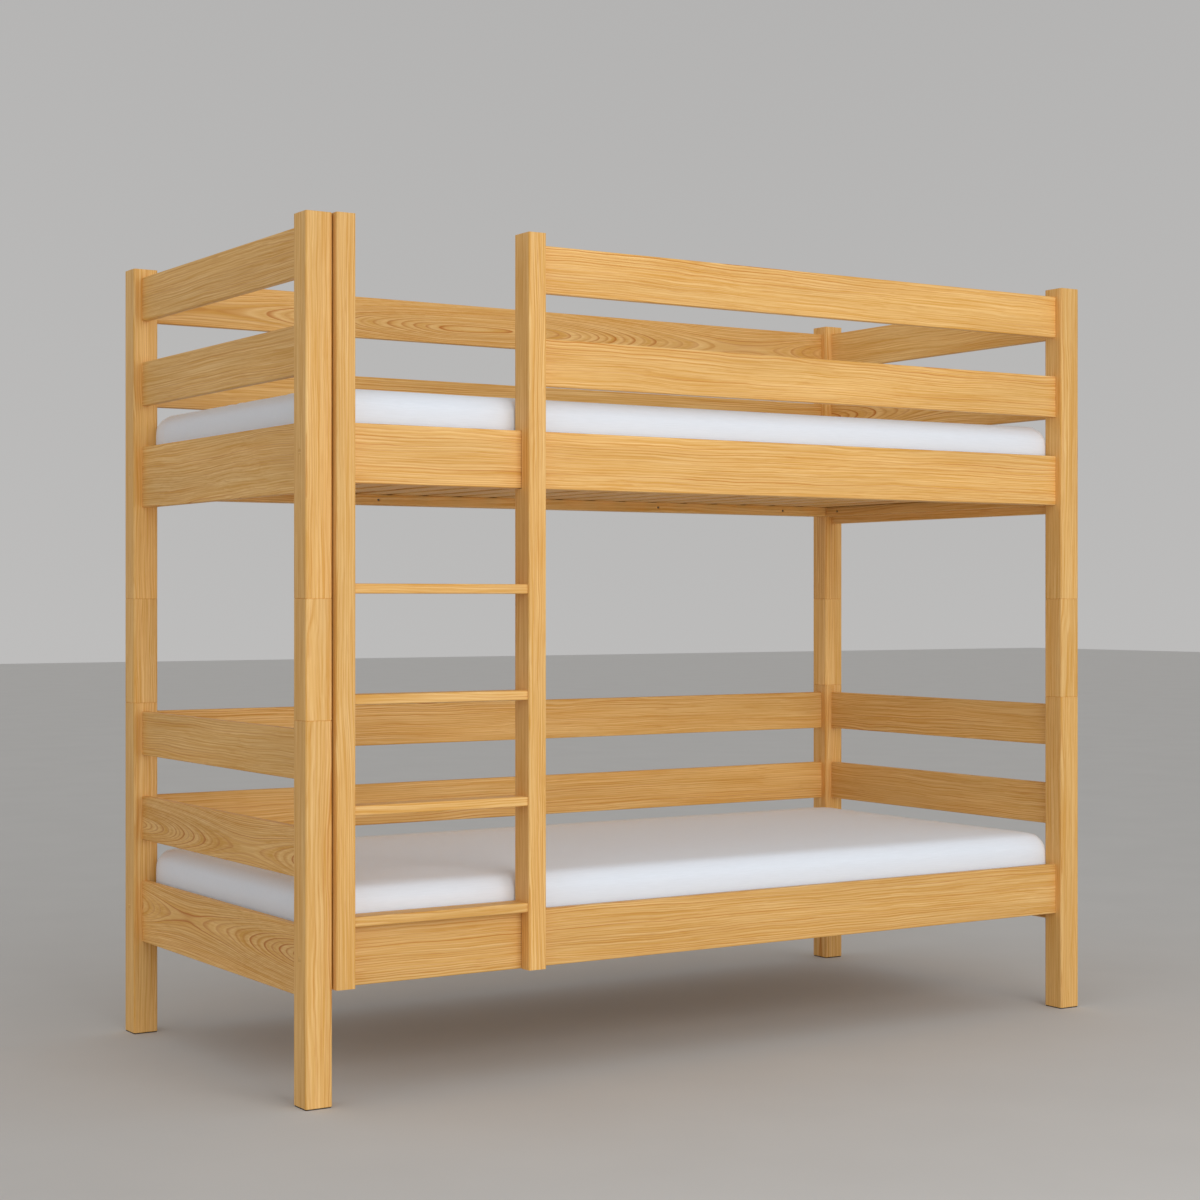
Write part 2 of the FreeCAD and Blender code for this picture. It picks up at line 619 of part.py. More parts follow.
def frame_bolt_sets():
    """Bolts along the side rails' ends, their barrel nuts, and the plugs over their heads."""
    bolts, nuts, plugs = [], [], []
    for foot in BED_FOOT.values():
        height = size(f"{foot} + {RAIL_MIDDLE}")
        for centre_x, centre_y, into_x, _ in CORNERS.values():
            middle = FreeCAD.Vector(size(centre_x), size(centre_y), height)
            pointing = vector("x", into_x)
            outer_face = middle - pointing * size("post_size / 2")
            head_face = outer_face + pointing * size("plug_depth")
            shank_face = head_face + pointing * size("bolt_head_height")
            plugs.append(
                Part.makeCylinder(size("plug_radius"), size("plug_depth"), outer_face, pointing)
            )
            head = Part.makeCylinder(
                size("bolt_head_radius"), size("bolt_head_height"), head_face, pointing
            )
            length = size("post_size - plug_depth - bolt_head_height + bolt_reach")
            radius = size("bolt_radius")
            shank = Part.makeCylinder(radius, length, shank_face, pointing)
            bolts.append(head.fuse(shank).removeSplitter())
            nut_middle = middle + pointing * size("post_size / 2 + nut_distance")
            nut_end = nut_middle - vector("y", size("nut_length / 2"))
            nut = Part.makeCylinder(size("nut_radius"), size("nut_length"), nut_end, vector("y"))
            nuts.append(nut.cut(shank))
    group("frame_bolts", bolts)
    group("barrel_nuts", nuts)
    group("bolt_plugs", plugs)


def batten_screws():
    """Countersunk screws through the battens into the rails."""
    solids = []
    radii = [size("screw_radius"), size("screw_head_radius"), size("screw_head_height")]
    for foot in BED_FOOT.values():
        height = size(f"{foot} + {BATTEN_SCREW_HEIGHT}")
        for side, (side_x, side_y, along, inwards) in SIDES.items():
            _, count, first, row = batten_screw_row(side)
            step = size(row) / (size(count) - 1)
            across = "y" if along == "x" else "x"
            face = size(f"{inwards} * (board_thickness / 2 + batten_width)")
            middle = FreeCAD.Vector(size(side_x), size(side_y), height) + vector(across, face)
            for index in range(int(size(count))):
                head_face = middle + vector(along, size(first) + index * step)
                pointing = vector(across, -inwards)
                length = size("batten_screw_length")
                solids.append(countersunk_screw(head_face, pointing, length, *radii))
    group("batten_screws", solids)


def slat_screws():
    """Countersunk screws through both ends of every slat into the side battens."""
    solids = []
    radii = [size("screw_radius"), size("screw_head_radius"), size("screw_head_height")]
    length = size(f"slat_thickness + {SLAT_SCREW_GRIP}")
    first = size(f"{LEFT} + post_size + slat_margin + slat_width / 2")
    for foot in BED_FOOT.values():
        top = size(f"{foot} + {SLAT_BOTTOM} + slat_thickness")
        for edge, inwards in ((FRONT, 1), (BACK, -1)):
            across = size(f"{edge} + {inwards} * ({BOARD_INSET} + batten_width / 2)")
            for index in range(int(size("slat_count"))):
                head_face = FreeCAD.Vector(first + index * size(SLAT_PITCH), across, top)
                solids.append(countersunk_screw(head_face, vector("z", -1), length, *radii))
    group("slat_screws", solids)


def ladder_bolts():
    """Countersunk bolts from inside both front rails into the stiles."""
    solids = []
    radii = [size("bolt_radius"), size("bolt_head_radius"), size("bolt_head_height")]
    length = size("ladder_bolt_length")
    rail_face = size(f"{FRONT} + {BOARD_INSET}")
    for foot in BED_FOOT.values():
        height = size(f"{foot} + rail_bottom + {LADDER_BOLT_HEIGHT}")
        for stile_x in STILE_X.values():
            head_face = FreeCAD.Vector(size(stile_x), rail_face, height)
            solids.append(countersunk_screw(head_face, vector("y", -1), length, *radii))
    group("ladder_bolts", solids)


TREADS = int(size("tread_count"))

for bed, foot in BED_FOOT.items():
    for corner in CORNERS:
        bed_post(bed, corner)
    for side in SIDES:
        level = "rail" if SIDES[side][2] == "x" else "end_rail"
        rail = board(f"{bed}_rail_{side}", side, level, foot)
        if level == "rail":
            rail_bolt_holes(rail, side)
        if side == "front":
            ladder_bolt_holes(rail)
        pilot_holes(rail, side, BOARD_LEVELS[level][0])
        batten(bed, side)
        if side != "front":
            for guard in GUARDS:
                board(f"{bed}_{guard}_{side}", side, guard, foot)
    slats(bed)
    mattress(bed)

for guard in GUARDS:
    guard_span = f"({RIGHT} - post_size - {STILE_RIGHT_FACE})"
    guard_middle = f"({STILE_RIGHT_FACE} + {guard_span} / 2)"
    board(f"upper_{guard}_front", "front", guard, BED_FOOT["upper"], guard_middle, guard_span)

for corner, (centre_x, centre_y, _, _) in CORNERS.items():
    foot = f"pad_thickness + {POST_HEIGHT}"
    spacer = square_post(f"spacer_{corner}", centre_x, centre_y, foot, "spacer_height")
    pin_hole(spacer, "lower_pin_hole", "0")
    pin_hole(spacer, "upper_pin_hole", "spacer_height - pin_depth - mortise_end_gap")

for side in ("left", "right"):
    stile(side)
for number in range(1, TREADS + 1):
    tread(number)

felt_pads()
stacking_pins()
frame_bolt_sets()
batten_screws()
slat_screws()
ladder_bolts()
doc.recompute()

for thing in doc.Objects:
    if "Invalid" in thing.State or "Error" in thing.State:
        raise RuntimeError(f"{thing.Label} failed: {thing.State}")
for node in nodes:
    if node.Shape.isNull() or not node.Shape.isValid():
        raise RuntimeError(f"{node.Label} has no valid shape")

os.makedirs("parts", exist_ok=True)
for node in nodes:
    node.Shape.exportStep(f"parts/{node.Label}.step")
print(len(nodes), "nodes written")
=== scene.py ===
import json
import math
import random
from collections import namedtuple

import bmesh
import bpy
import numpy as np
from mathutils import Euler, Matrix, Vector


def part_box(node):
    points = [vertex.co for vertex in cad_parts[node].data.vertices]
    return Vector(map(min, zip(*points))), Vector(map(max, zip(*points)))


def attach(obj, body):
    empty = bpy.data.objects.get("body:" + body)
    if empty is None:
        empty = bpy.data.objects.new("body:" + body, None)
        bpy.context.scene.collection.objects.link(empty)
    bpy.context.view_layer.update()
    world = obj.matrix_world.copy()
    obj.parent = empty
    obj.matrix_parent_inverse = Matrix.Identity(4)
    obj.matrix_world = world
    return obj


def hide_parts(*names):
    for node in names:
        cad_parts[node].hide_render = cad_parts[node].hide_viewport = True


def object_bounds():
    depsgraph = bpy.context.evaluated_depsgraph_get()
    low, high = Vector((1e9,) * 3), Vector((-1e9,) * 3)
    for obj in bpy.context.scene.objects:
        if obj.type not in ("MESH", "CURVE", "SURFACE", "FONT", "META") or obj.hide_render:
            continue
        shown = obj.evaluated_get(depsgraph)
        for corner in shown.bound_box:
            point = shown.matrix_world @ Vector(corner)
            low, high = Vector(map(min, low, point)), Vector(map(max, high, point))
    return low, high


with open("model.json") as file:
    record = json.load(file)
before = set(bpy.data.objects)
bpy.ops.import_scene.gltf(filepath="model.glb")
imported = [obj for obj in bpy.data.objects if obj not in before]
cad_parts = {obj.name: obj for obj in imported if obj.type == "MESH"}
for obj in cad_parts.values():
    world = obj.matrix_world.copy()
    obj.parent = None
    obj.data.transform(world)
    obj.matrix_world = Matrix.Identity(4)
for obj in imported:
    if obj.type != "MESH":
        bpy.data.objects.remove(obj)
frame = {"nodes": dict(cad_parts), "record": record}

CAD_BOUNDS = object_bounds()

bl_info = {
    "name": "Bunk bed looks",
    "version": (1, 0, 0),
    "blender": (4, 5, 0),
    "location": "3D View > Sidebar > Bunk bed",
    "description": "Finishes a pine bunk bed: lacquered boards, cotton mattresses, screws and a studio",
    "category": "Object",
}

MM = 0.001
SAME_PLACE = 0.01 * MM  # points closer than this count as one
NODES = frame["nodes"]


def linear(hex_code):
    """An sRGB hex colour as linear red, green and blue."""
    channels = [int(hex_code[start:start + 2], 16) / 255 for start in (1, 3, 5)]
    return tuple(c / 12.92 if c <= 0.04045 else ((c + 0.055) / 1.055) ** 2.4 for c in channels)


# ---------------------------------------------------------------- sizes and colours a user may change


class BunkPineSettings(bpy.types.PropertyGroup):
    """How the pine looks."""

    ring_width: bpy.props.FloatProperty(
        name="Ring width", description="Growth of the tree in one year, in millimetres", default=4.6, min=0.5
    )
    early_wood: bpy.props.FloatVectorProperty(
        name="Early wood", description="Wide pale part of a growth ring", subtype="COLOR", size=3,
        default=linear("#F6CA84"),
    )
    fibre: bpy.props.FloatVectorProperty(
        name="Fibre", description="Darker fibres between the growth lines", subtype="COLOR", size=3,
        default=linear("#DEA44C"),
    )
    late_wood: bpy.props.FloatVectorProperty(
        name="Late wood", description="Thin dense part of a growth ring", subtype="COLOR", size=3,
        default=linear("#C87A2E"),
    )
    resin: bpy.props.FloatVectorProperty(
        name="Resin streaks", description="Short darker dashes along the grain", subtype="COLOR", size=3,
        default=linear("#CE8B3D"),
    )
    line_strength: bpy.props.FloatProperty(
        name="Line strength", description="How far the late wood's colour comes through", default=1.0,
        subtype="FACTOR", min=0, max=1,
    )
    tone_spread: bpy.props.FloatProperty(
        name="Tone spread", description="How much the boards differ in brightness", default=0.035,
        subtype="FACTOR", min=0, max=1,
    )


class BunkMattressSettings(bpy.types.PropertyGroup):
    """Shape and cover of the mattresses."""

    edge_round: bpy.props.FloatProperty(
        name="Edge rounding", description="Rounding of the top edge", default=0.04, unit="LENGTH"
    )
    corner_round: bpy.props.FloatProperty(
        name="Corner rounding", description="Rounding of the upright corners", default=0.02, unit="LENGTH"
    )
    voxel: bpy.props.FloatProperty(
        name="Mesh step", description="Spacing of the simulated cloth's points", default=0.015, unit="LENGTH"
    )
    pressure: bpy.props.FloatProperty(
        name="Pressure", description="Push of the filling on the cover", default=4.0
    )
    swell: bpy.props.FloatProperty(
        name="Swell", description="How far the filling may push the cover", default=0.0045, unit="LENGTH"
    )
    crease_height: bpy.props.FloatProperty(
        name="Crease height", description="Height of the cover's small folds", default=0.003, unit="LENGTH"
    )
    thread: bpy.props.FloatProperty(
        name="Thread spacing", description="Spacing of the drawn weave, in millimetres", default=1.6, min=0.2
    )
    cotton: bpy.props.FloatVectorProperty(
        name="Cotton", description="Colour of the cover", subtype="COLOR", size=3, default=linear("#EBF2FC")
    )


class BunkHardwareSettings(bpy.types.PropertyGroup):
    """Screws, bolts and felt."""

    zinc: bpy.props.FloatVectorProperty(
        name="Zinc", description="Colour of the screws and bolts", subtype="COLOR", size=3,
        default=linear("#6E6A66"),
    )
    felt: bpy.props.FloatVectorProperty(
        name="Felt", description="Colour of the pads under the feet", subtype="COLOR", size=3,
        default=linear("#2A2623"),
    )
    recess_depth: bpy.props.FloatProperty(
        name="Recess depth", description="Depth of the cross in a screw's head", default=0.0018, unit="LENGTH"
    )


class BunkStageSettings(bpy.types.PropertyGroup):
    """Camera, floor and light."""

    camera_place: bpy.props.FloatVectorProperty(
        name="Camera", description="Where the camera stands", subtype="TRANSLATION", size=3,
        default=(-2.9152, -4.4668, 0.9992), unit="LENGTH",
    )
    camera_turn: bpy.props.FloatProperty(
        name="Turn", description="How far the camera turns from +Y towards +X", subtype="ANGLE",
        default=math.radians(32.70),
    )
    camera_lens: bpy.props.FloatProperty(
        name="Lens", description="Focal length for a 36 mm wide sensor, in millimetres", default=67.05
    )
    floor: bpy.props.FloatVectorProperty(
        name="Floor", description="Colour of the floor", subtype="COLOR", size=3, default=linear("#CCCBC9")
    )
    surround: bpy.props.FloatVectorProperty(
        name="Surround", description="Colour of the light from all round", subtype="COLOR", size=3,
        default=linear("#DCDBDA"),
    )
    surround_strength: bpy.props.FloatProperty(
        name="Surround strength", description="Brightness of the light from all round", default=0.96
    )
    surround_lean: bpy.props.FloatVectorProperty(
        name="Surround lean", description="Which way the light from all round grows brighter, and how much",
        subtype="XYZ", size=3, default=(-0.16, -0.22, -0.28),
    )
    key_place: bpy.props.FloatVectorProperty(
        name="Key light", description="Where the large soft light in front hangs", subtype="TRANSLATION",
        size=3, default=(-0.15, -4.9, 1.7), unit="LENGTH",
    )
    key_size: bpy.props.FloatProperty(
        name="Key light size", description="Side of the large soft light", default=3.4, unit="LENGTH"
    )
    key_power: bpy.props.FloatProperty(
        name="Key light power", description="Power of the large soft light", default=87.0, unit="POWER"
    )
    floor_size: bpy.props.FloatProperty(
        name="Floor size", description="Distance from the bed to the floor's edges", default=30.0,
        unit="LENGTH",
    )


SETTINGS = {
    "bunk_pine": BunkPineSettings,
    "bunk_mattress": BunkMattressSettings,
    "bunk_hardware": BunkHardwareSettings,
    "bunk_stage": BunkStageSettings,
}


# ---------------------------------------------------------------- materials


def add(tree, kind, inputs=None, **settings):
    """Add a node. Its inputs are set by name or number, to a value, a socket or a node's first output,
    or to a list of these where an input takes several."""
    node = tree.nodes.new(kind)
    for name, value in settings.items():
        setattr(node, name, value)
    for name, given in (inputs or {}).items():
        socket = node.inputs[name]
        for value in given if isinstance(given, list) else [given]:
            if isinstance(value, bpy.types.Node):
                value = value.outputs[0]
            if isinstance(value, bpy.types.NodeSocket):
                tree.links.new(value, socket)
            else:
                socket.default_value = value
    return node


def new_material(name):
    """An empty material with nodes."""
    material = bpy.data.materials.new(name)
    material.use_nodes = True
    material.node_tree.nodes.clear()
    return material, material.node_tree


def opaque(colour, strength=1.0):
    """A colour with alpha, made lighter or darker."""
    return tuple(min(1.0, channel * strength) for channel in colour) + (1.0,)


# How a piece was sawn from its log, and its tone with any painted shade. Lengths are in metres, from the
# piece's middle.
Cut = namedtuple("Cut", "along across depth shift slope wave bow ring bold faint swirl seed tone")

AXES = {"x": Vector((1, 0, 0)), "y": Vector((0, 1, 0)), "z": Vector((0, 0, 1))}

# The wood's patterns, as waves per metre along the grain and both ways across it.
RING_DRIFT = (3.2, 10.0, 10.0)  # rings wander: waves 300 mm long and 100 mm wide, with ripples on them
RING_FADE = (1.5, 16.0, 16.0)  # growth lines fade in patches 700 mm long and 60 mm wide
FIBRES = (4.0, 320.0, 320.0)  # fibres 250 mm long, 3 mm wide and finer
RESIN_DASHES = (14.0, 300.0, 300.0)  # dashes 70 mm long and 3 mm wide
CLOUDS = (1.3, 14.0, 14.0)  # paler and darker parts 800 mm long and 70 mm wide
KNOT_SPREAD = (11.0, 12.0, 38.0)  # a knot's bulge fades within 90 mm along, 80 mm deep, 25 mm sideways

FINE_LINES_ALONG = 2.5  # fine lines inside the rings are 400 mm long
FINE_LINES_OUTWARDS = 400.0  # and 2.5 mm apart
BENDS_PER_METRE = 0.65  # the log bends one way and back every 1.5 m
DRIFT_REACH = 4.0  # noise mostly stays within a quarter of its range from the middle
ROW_JUMP = (7.0, 0.06, 0.12)  # how far apart in the log the boards of a row may lie, in metres
YEARS_PER_METRE = 40.0  # good and bad years change every 25 mm of growth
YEARS_SHIFT = 1.9  # and move a ring by up to this many rings
LATE_WOOD_STARTS = 0.5  # share of a year's growth
LATE_WOOD_DARKEST = 0.92


def grain_frame(low, high, cut):
    """Place and turn of a Mapping node that lays the log's heart on its X axis."""
    along, normal = AXES[cut.along], AXES[cut.across]
    turn = Matrix((along, normal, along.cross(normal)))
    # Boards are never quite in line with their log, and lean less through their thickness.
    tilt = Euler((0, cut.slope * 0.4, cut.slope)).to_matrix()
    turn = tilt @ turn
    middle = (low + high) / 2
    heart = Vector((cut.seed, cut.depth, cut.shift))
    return heart - turn @ middle, turn.to_euler()


def log_space(tree, low, high, cut, row):
    """Where a point of a board lies in its log, in metres: X along the heart, Y and Z away from it."""
    place, turn = grain_frame(low, high, cut)
    spot = add(tree, "ShaderNodeTexCoord").outputs["Object"]
    wood = add(tree, "ShaderNodeMapping", {"Vector": spot, "Location": place, "Rotation": turn})
    if not row:
        return wood
    # Each board of the row comes from another part of the log.
    first, pitch = row
    split = add(tree, "ShaderNodeSeparateXYZ", {0: spot})
    from_first = add(tree, "ShaderNodeMath", {0: split, 1: first}, operation="SUBTRACT")
    in_row = add(tree, "ShaderNodeMath", {0: from_first, 1: pitch}, operation="DIVIDE")
    number = add(tree, "ShaderNodeMath", {0: in_row}, operation="ROUND")
    chance = add(tree, "ShaderNodeTexWhiteNoise", {"W": number}, noise_dimensions="1D")
    jump = add(
        tree, "ShaderNodeVectorMath", {0: chance.outputs["Color"], 1: ROW_JUMP}, operation="MULTIPLY"
    )
    return add(tree, "ShaderNodeVectorMath", {0: wood, 1: jump}, operation="ADD")


def bent_log(tree, wood, cut):
    """The place in the log once its rings wander and it bends a little, so that flat sawn faces show
    arches that point one way and then the other."""
    long_waves = add(tree, "ShaderNodeVectorMath", {0: wood, 1: RING_DRIFT}, operation="MULTIPLY")
    drift = add(tree, "ShaderNodeTexNoise", {"Vector": long_waves, "Scale": 1.0, "Detail": 3.0})
    centred = add(
        tree, "ShaderNodeVectorMath", {0: drift.outputs["Color"], 1: (0.5, 0.5, 0.5)},
        operation="SUBTRACT",
    )
    pushed = add(
        tree, "ShaderNodeVectorMath", {0: centred, "Scale": cut.wave * DRIFT_REACH}, operation="SCALE"
    )
    wavy = add(tree, "ShaderNodeVectorMath", {0: wood, 1: pushed}, operation="ADD")
    lengthwise = add(tree, "ShaderNodeSeparateXYZ", {0: wavy})
    phase = add(
        tree, "ShaderNodeMath", {0: lengthwise, 1: BENDS_PER_METRE * 2 * math.pi}, operation="MULTIPLY"
    )
    bend = add(tree, "ShaderNodeMath", {0: phase}, operation="SINE")
    bow = add(tree, "ShaderNodeMath", {0: bend, 1: cut.bow}, operation="MULTIPLY")
    sideways = add(tree, "ShaderNodeCombineXYZ", {"Y": bow})
    return add(tree, "ShaderNodeVectorMath", {0: wavy, 1: sideways}, operation="ADD")


def ring_radius(tree, wood, bent, cut):
    """Distance to the log's heart. A hidden knot bulges the rings round one place on the board."""
    flat = add(tree, "ShaderNodeVectorMath", {0: bent, 1: (0.0, 1.0, 1.0)}, operation="MULTIPLY")
    radius = add(tree, "ShaderNodeVectorMath", {0: flat}, operation="LENGTH").outputs["Value"]
    knot_along, knot_aside, knot_bulge = cut.swirl
    knot = (cut.seed + knot_along, cut.depth, cut.shift + knot_aside)
    from_knot = add(tree, "ShaderNodeVectorMath", {0: wood, 1: knot}, operation="SUBTRACT")
    shrunk = add(tree, "ShaderNodeVectorMath", {0: from_knot, 1: KNOT_SPREAD}, operation="MULTIPLY")
    squared = add(tree, "ShaderNodeVectorMath", {0: shrunk, 1: shrunk}, operation="DOT_PRODUCT")
    away = add(
        tree, "ShaderNodeMath", {0: squared.outputs["Value"], 1: -1.0}, operation="MULTIPLY"
    )
    bulge = add(tree, "ShaderNodeMath", {0: away}, operation="EXPONENT")
    return add(tree, "ShaderNodeMath", {0: bulge, 1: knot_bulge, 2: radius}, operation="MULTIPLY_ADD")


def growth_lines(tree, wood, radius, cut, ring_width):
    """Late wood lines, from 0 to 1. Each darkens slowly through its year and ends sharply. Years differ
    in width and darkness, and the lines fade in patches."""
    years = add(
        tree, "ShaderNodeTexNoise", {"W": radius, "Scale": YEARS_PER_METRE, "Detail": 1.0},
        noise_dimensions="1D",
    )
    counted = add(tree, "ShaderNodeMath", {0: radius, 1: ring_width * cut.ring * MM}, operation="DIVIDE")
    year = add(tree, "ShaderNodeMath", {0: years, 1: YEARS_SHIFT, 2: counted}, operation="MULTIPLY_ADD")
    part = add(tree, "ShaderNodeMath", {0: year}, operation="FRACT")
    whole = add(tree, "ShaderNodeMath", {0: year}, operation="FLOOR")
    rise = add(
        tree, "ShaderNodeMapRange",
        {"Value": part, "From Min": LATE_WOOD_STARTS, "From Max": LATE_WOOD_DARKEST},
        interpolation_type="SMOOTHSTEP",
    )
    fall = add(
        tree, "ShaderNodeMapRange",
        {"Value": part, "From Min": LATE_WOOD_DARKEST, "From Max": 1.0, "To Min": 1.0, "To Max": 0.0},
    )
    late = add(tree, "ShaderNodeMath", {0: rise, 1: fall}, operation="MULTIPLY")
    # Most years leave a faint line and a few a bold one.
    luck = add(tree, "ShaderNodeTexWhiteNoise", {"W": whole}, noise_dimensions="1D")
    rare = add(tree, "ShaderNodeMath", {0: luck, 1: 1.6}, operation="POWER")
    boldness = add(tree, "ShaderNodeMapRange", {"Value": rare, "To Min": 0.28, "To Max": 1.0})
    lines = add(tree, "ShaderNodeMath", {0: late, 1: boldness}, operation="MULTIPLY")
    patches = add(tree, "ShaderNodeVectorMath", {0: wood, 1: RING_FADE}, operation="MULTIPLY")
    fading = add(tree, "ShaderNodeTexNoise", {"Vector": patches, "Scale": 1.0, "Detail": 1.0})
    shown = add(
        tree, "ShaderNodeMapRange",
        {"Value": fading, "From Min": 0.32, "From Max": 0.6, "To Min": cut.faint, "To Max": 1.0},
    )
    return add(tree, "ShaderNodeMath", {0: lines, 1: shown}, operation="MULTIPLY")


def fibre_pattern(tree, bent, radius):
    """Fine lines inside each ring and fibres down to 0.4 mm wide, about 0.5 on average. Real fibres are
    finer still; these are drawn as coarse as they need to be to show."""
    lengthwise = add(tree, "ShaderNodeSeparateXYZ", {0: bent})
    stretched = add(tree, "ShaderNodeMath", {0: lengthwise, 1: FINE_LINES_ALONG}, operation="MULTIPLY")
    packed = add(tree, "ShaderNodeMath", {0: radius, 1: FINE_LINES_OUTWARDS}, operation="MULTIPLY")
    layer = add(tree, "ShaderNodeCombineXYZ", {"X": stretched, "Y": packed})
    layers = add(
        tree, "ShaderNodeTexNoise", {"Vector": layer, "Scale": 1.0, "Detail": 2.0},
        noise_dimensions="2D",
    )
    thin = add(tree, "ShaderNodeVectorMath", {0: bent, 1: FIBRES}, operation="MULTIPLY")
    threads = add(
        tree, "ShaderNodeTexNoise", {"Vector": thin, "Scale": 1.0, "Detail": 3.0, "Roughness": 0.7}
    )
    return add(tree, "ShaderNodeMix", {0: 0.45, 2: layers, 3: threads}, data_type="FLOAT")


def pine(name, low, high, cut, row=None):
    """Clear lacquered pine. Growth rings run round the log's heart, so every face of a board shows
    the lines, arches or end arcs that its saw cut gives; the eye sees warm orange lines on pale honey."""
    look = bpy.context.scene.bunk_pine
    material, tree = new_material(name)
    wood = log_space(tree, low, high, cut, row)
    bent = bent_log(tree, wood, cut)
    radius = ring_radius(tree, wood, bent, cut)
    lines = growth_lines(tree, wood, radius, cut, look.ring_width)
    fibres = fibre_pattern(tree, bent, radius)

    grain = add(tree, "ShaderNodeMapRange", {"Value": fibres, "From Min": 0.36, "From Max": 0.64})
    # Every colour is scaled by the piece's tone, which holds painted shade for pieces in less light.
    between = add(
        tree, "ShaderNodeMix",
        {0: grain, 6: opaque(look.early_wood, cut.tone), 7: opaque(look.fibre, cut.tone)},
        data_type="RGBA",
    )
    short = add(tree, "ShaderNodeVectorMath", {0: bent, 1: RESIN_DASHES}, operation="MULTIPLY")
    dashes = add(tree, "ShaderNodeTexNoise", {"Vector": short, "Scale": 1.0, "Detail": 1.0})
    dash = add(
        tree, "ShaderNodeMapRange",
        {"Value": dashes, "From Min": 0.6, "From Max": 0.76, "To Min": 0.0, "To Max": 0.35},
    )
    streaked = add(
        tree, "ShaderNodeMix",
        {0: dash, 6: between.outputs[2], 7: opaque(look.resin, cut.tone)}, data_type="RGBA",
    )
    inked = add(tree, "ShaderNodeMath", {0: lines, 1: look.line_strength * cut.bold}, operation="MULTIPLY")
    ringed = add(
        tree, "ShaderNodeMix",
        {0: inked, 6: streaked.outputs[2], 7: opaque(look.late_wood, cut.tone)}, data_type="RGBA",
    )
    cloud = add(tree, "ShaderNodeVectorMath", {0: wood, 1: CLOUDS}, operation="MULTIPLY")
    cloudy = add(tree, "ShaderNodeTexNoise", {"Vector": cloud, "Scale": 1.0, "Detail": 2.0})
    shade = add(
        tree, "ShaderNodeMapRange",
        {"Value": cloudy, "From Min": 0.3, "From Max": 0.7, "To Min": 0.93, "To Max": 1.05},
    )
    colour = add(
        tree, "ShaderNodeVectorMath", {0: ringed.outputs[2], "Scale": shade}, operation="SCALE"
    )

    relief = add(tree, "ShaderNodeMath", {0: fibres, 1: 0.5, 2: lines}, operation="MULTIPLY_ADD")
    bump = add(tree, "ShaderNodeBump", {"Height": relief, "Strength": 0.35, "Distance": 0.25 * MM})
    roughness = add(
        tree, "ShaderNodeMapRange",
        {"Value": fibres, "From Min": 0.3, "From Max": 0.7, "To Min": 0.46, "To Max": 0.58},
    )
    shader = add(
        tree, "ShaderNodeBsdfPrincipled",
        {"Base Color": colour, "Roughness": roughness, "Normal": bump, "Specular IOR Level": 0.3},
    )
    add(tree, "ShaderNodeOutputMaterial", {"Surface": shader})
    return material


def cotton(name):
    """White cotton percale, plain woven and washed. Its threads catch soft light, so it looks matte,
    with a faint fuzz at grazing angles. The weave is drawn coarser than the real 0.3 mm to show."""
    mattress_settings = bpy.context.scene.bunk_mattress
    material, tree = new_material(name)
    spot = add(tree, "ShaderNodeTexCoord").outputs["Object"]
    turns = 2 * math.pi / (mattress_settings.thread * MM)
    thread = add(tree, "ShaderNodeVectorMath", {0: spot, "Scale": turns}, operation="SCALE")
    over = add(tree, "ShaderNodeVectorMath", {0: thread}, operation="SINE")
    weave = add(
        tree, "ShaderNodeVectorMath", {0: over, 1: (0.5, 0.5, 0.5)}, operation="DOT_PRODUCT"
    ).outputs["Value"]
    # Slubs: threads thicker for a few centimetres.
    along_x = add(
        tree, "ShaderNodeVectorMath", {0: spot, 1: (25.0, 500.0, 500.0)}, operation="MULTIPLY"
    )
    slubs = add(tree, "ShaderNodeTexNoise", {"Vector": along_x, "Scale": 1.0, "Detail": 2.0})
    # Faint unevenness left by washing, about 60 mm across.
    soft = add(tree, "ShaderNodeTexNoise", {"Vector": spot, "Scale": 17.0, "Detail": 4.0})
    lines = add(
        tree, "ShaderNodeMapRange",
        {"Value": slubs, "From Min": 0.3, "From Max": 0.7, "To Min": 0.965, "To Max": 1.0},
    )
    colour = add(
        tree, "ShaderNodeVectorMath", {0: mattress_settings.cotton[:], "Scale": lines},
        operation="SCALE",
    )
    height = add(tree, "ShaderNodeMath", {0: soft, 1: 14.0, 2: weave}, operation="MULTIPLY_ADD")
    bump = add(tree, "ShaderNodeBump", {"Height": height, "Strength": 0.3, "Distance": 0.3 * MM})
    shader = add(
        tree, "ShaderNodeBsdfPrincipled",
        {
            "Base Color": colour,
            "Roughness": 0.88,
            "Normal": bump,
            "Sheen Weight": 0.25,
            "Sheen Roughness": 0.5,
        },
    )
    add(tree, "ShaderNodeOutputMaterial", {"Surface": shader})
    return material


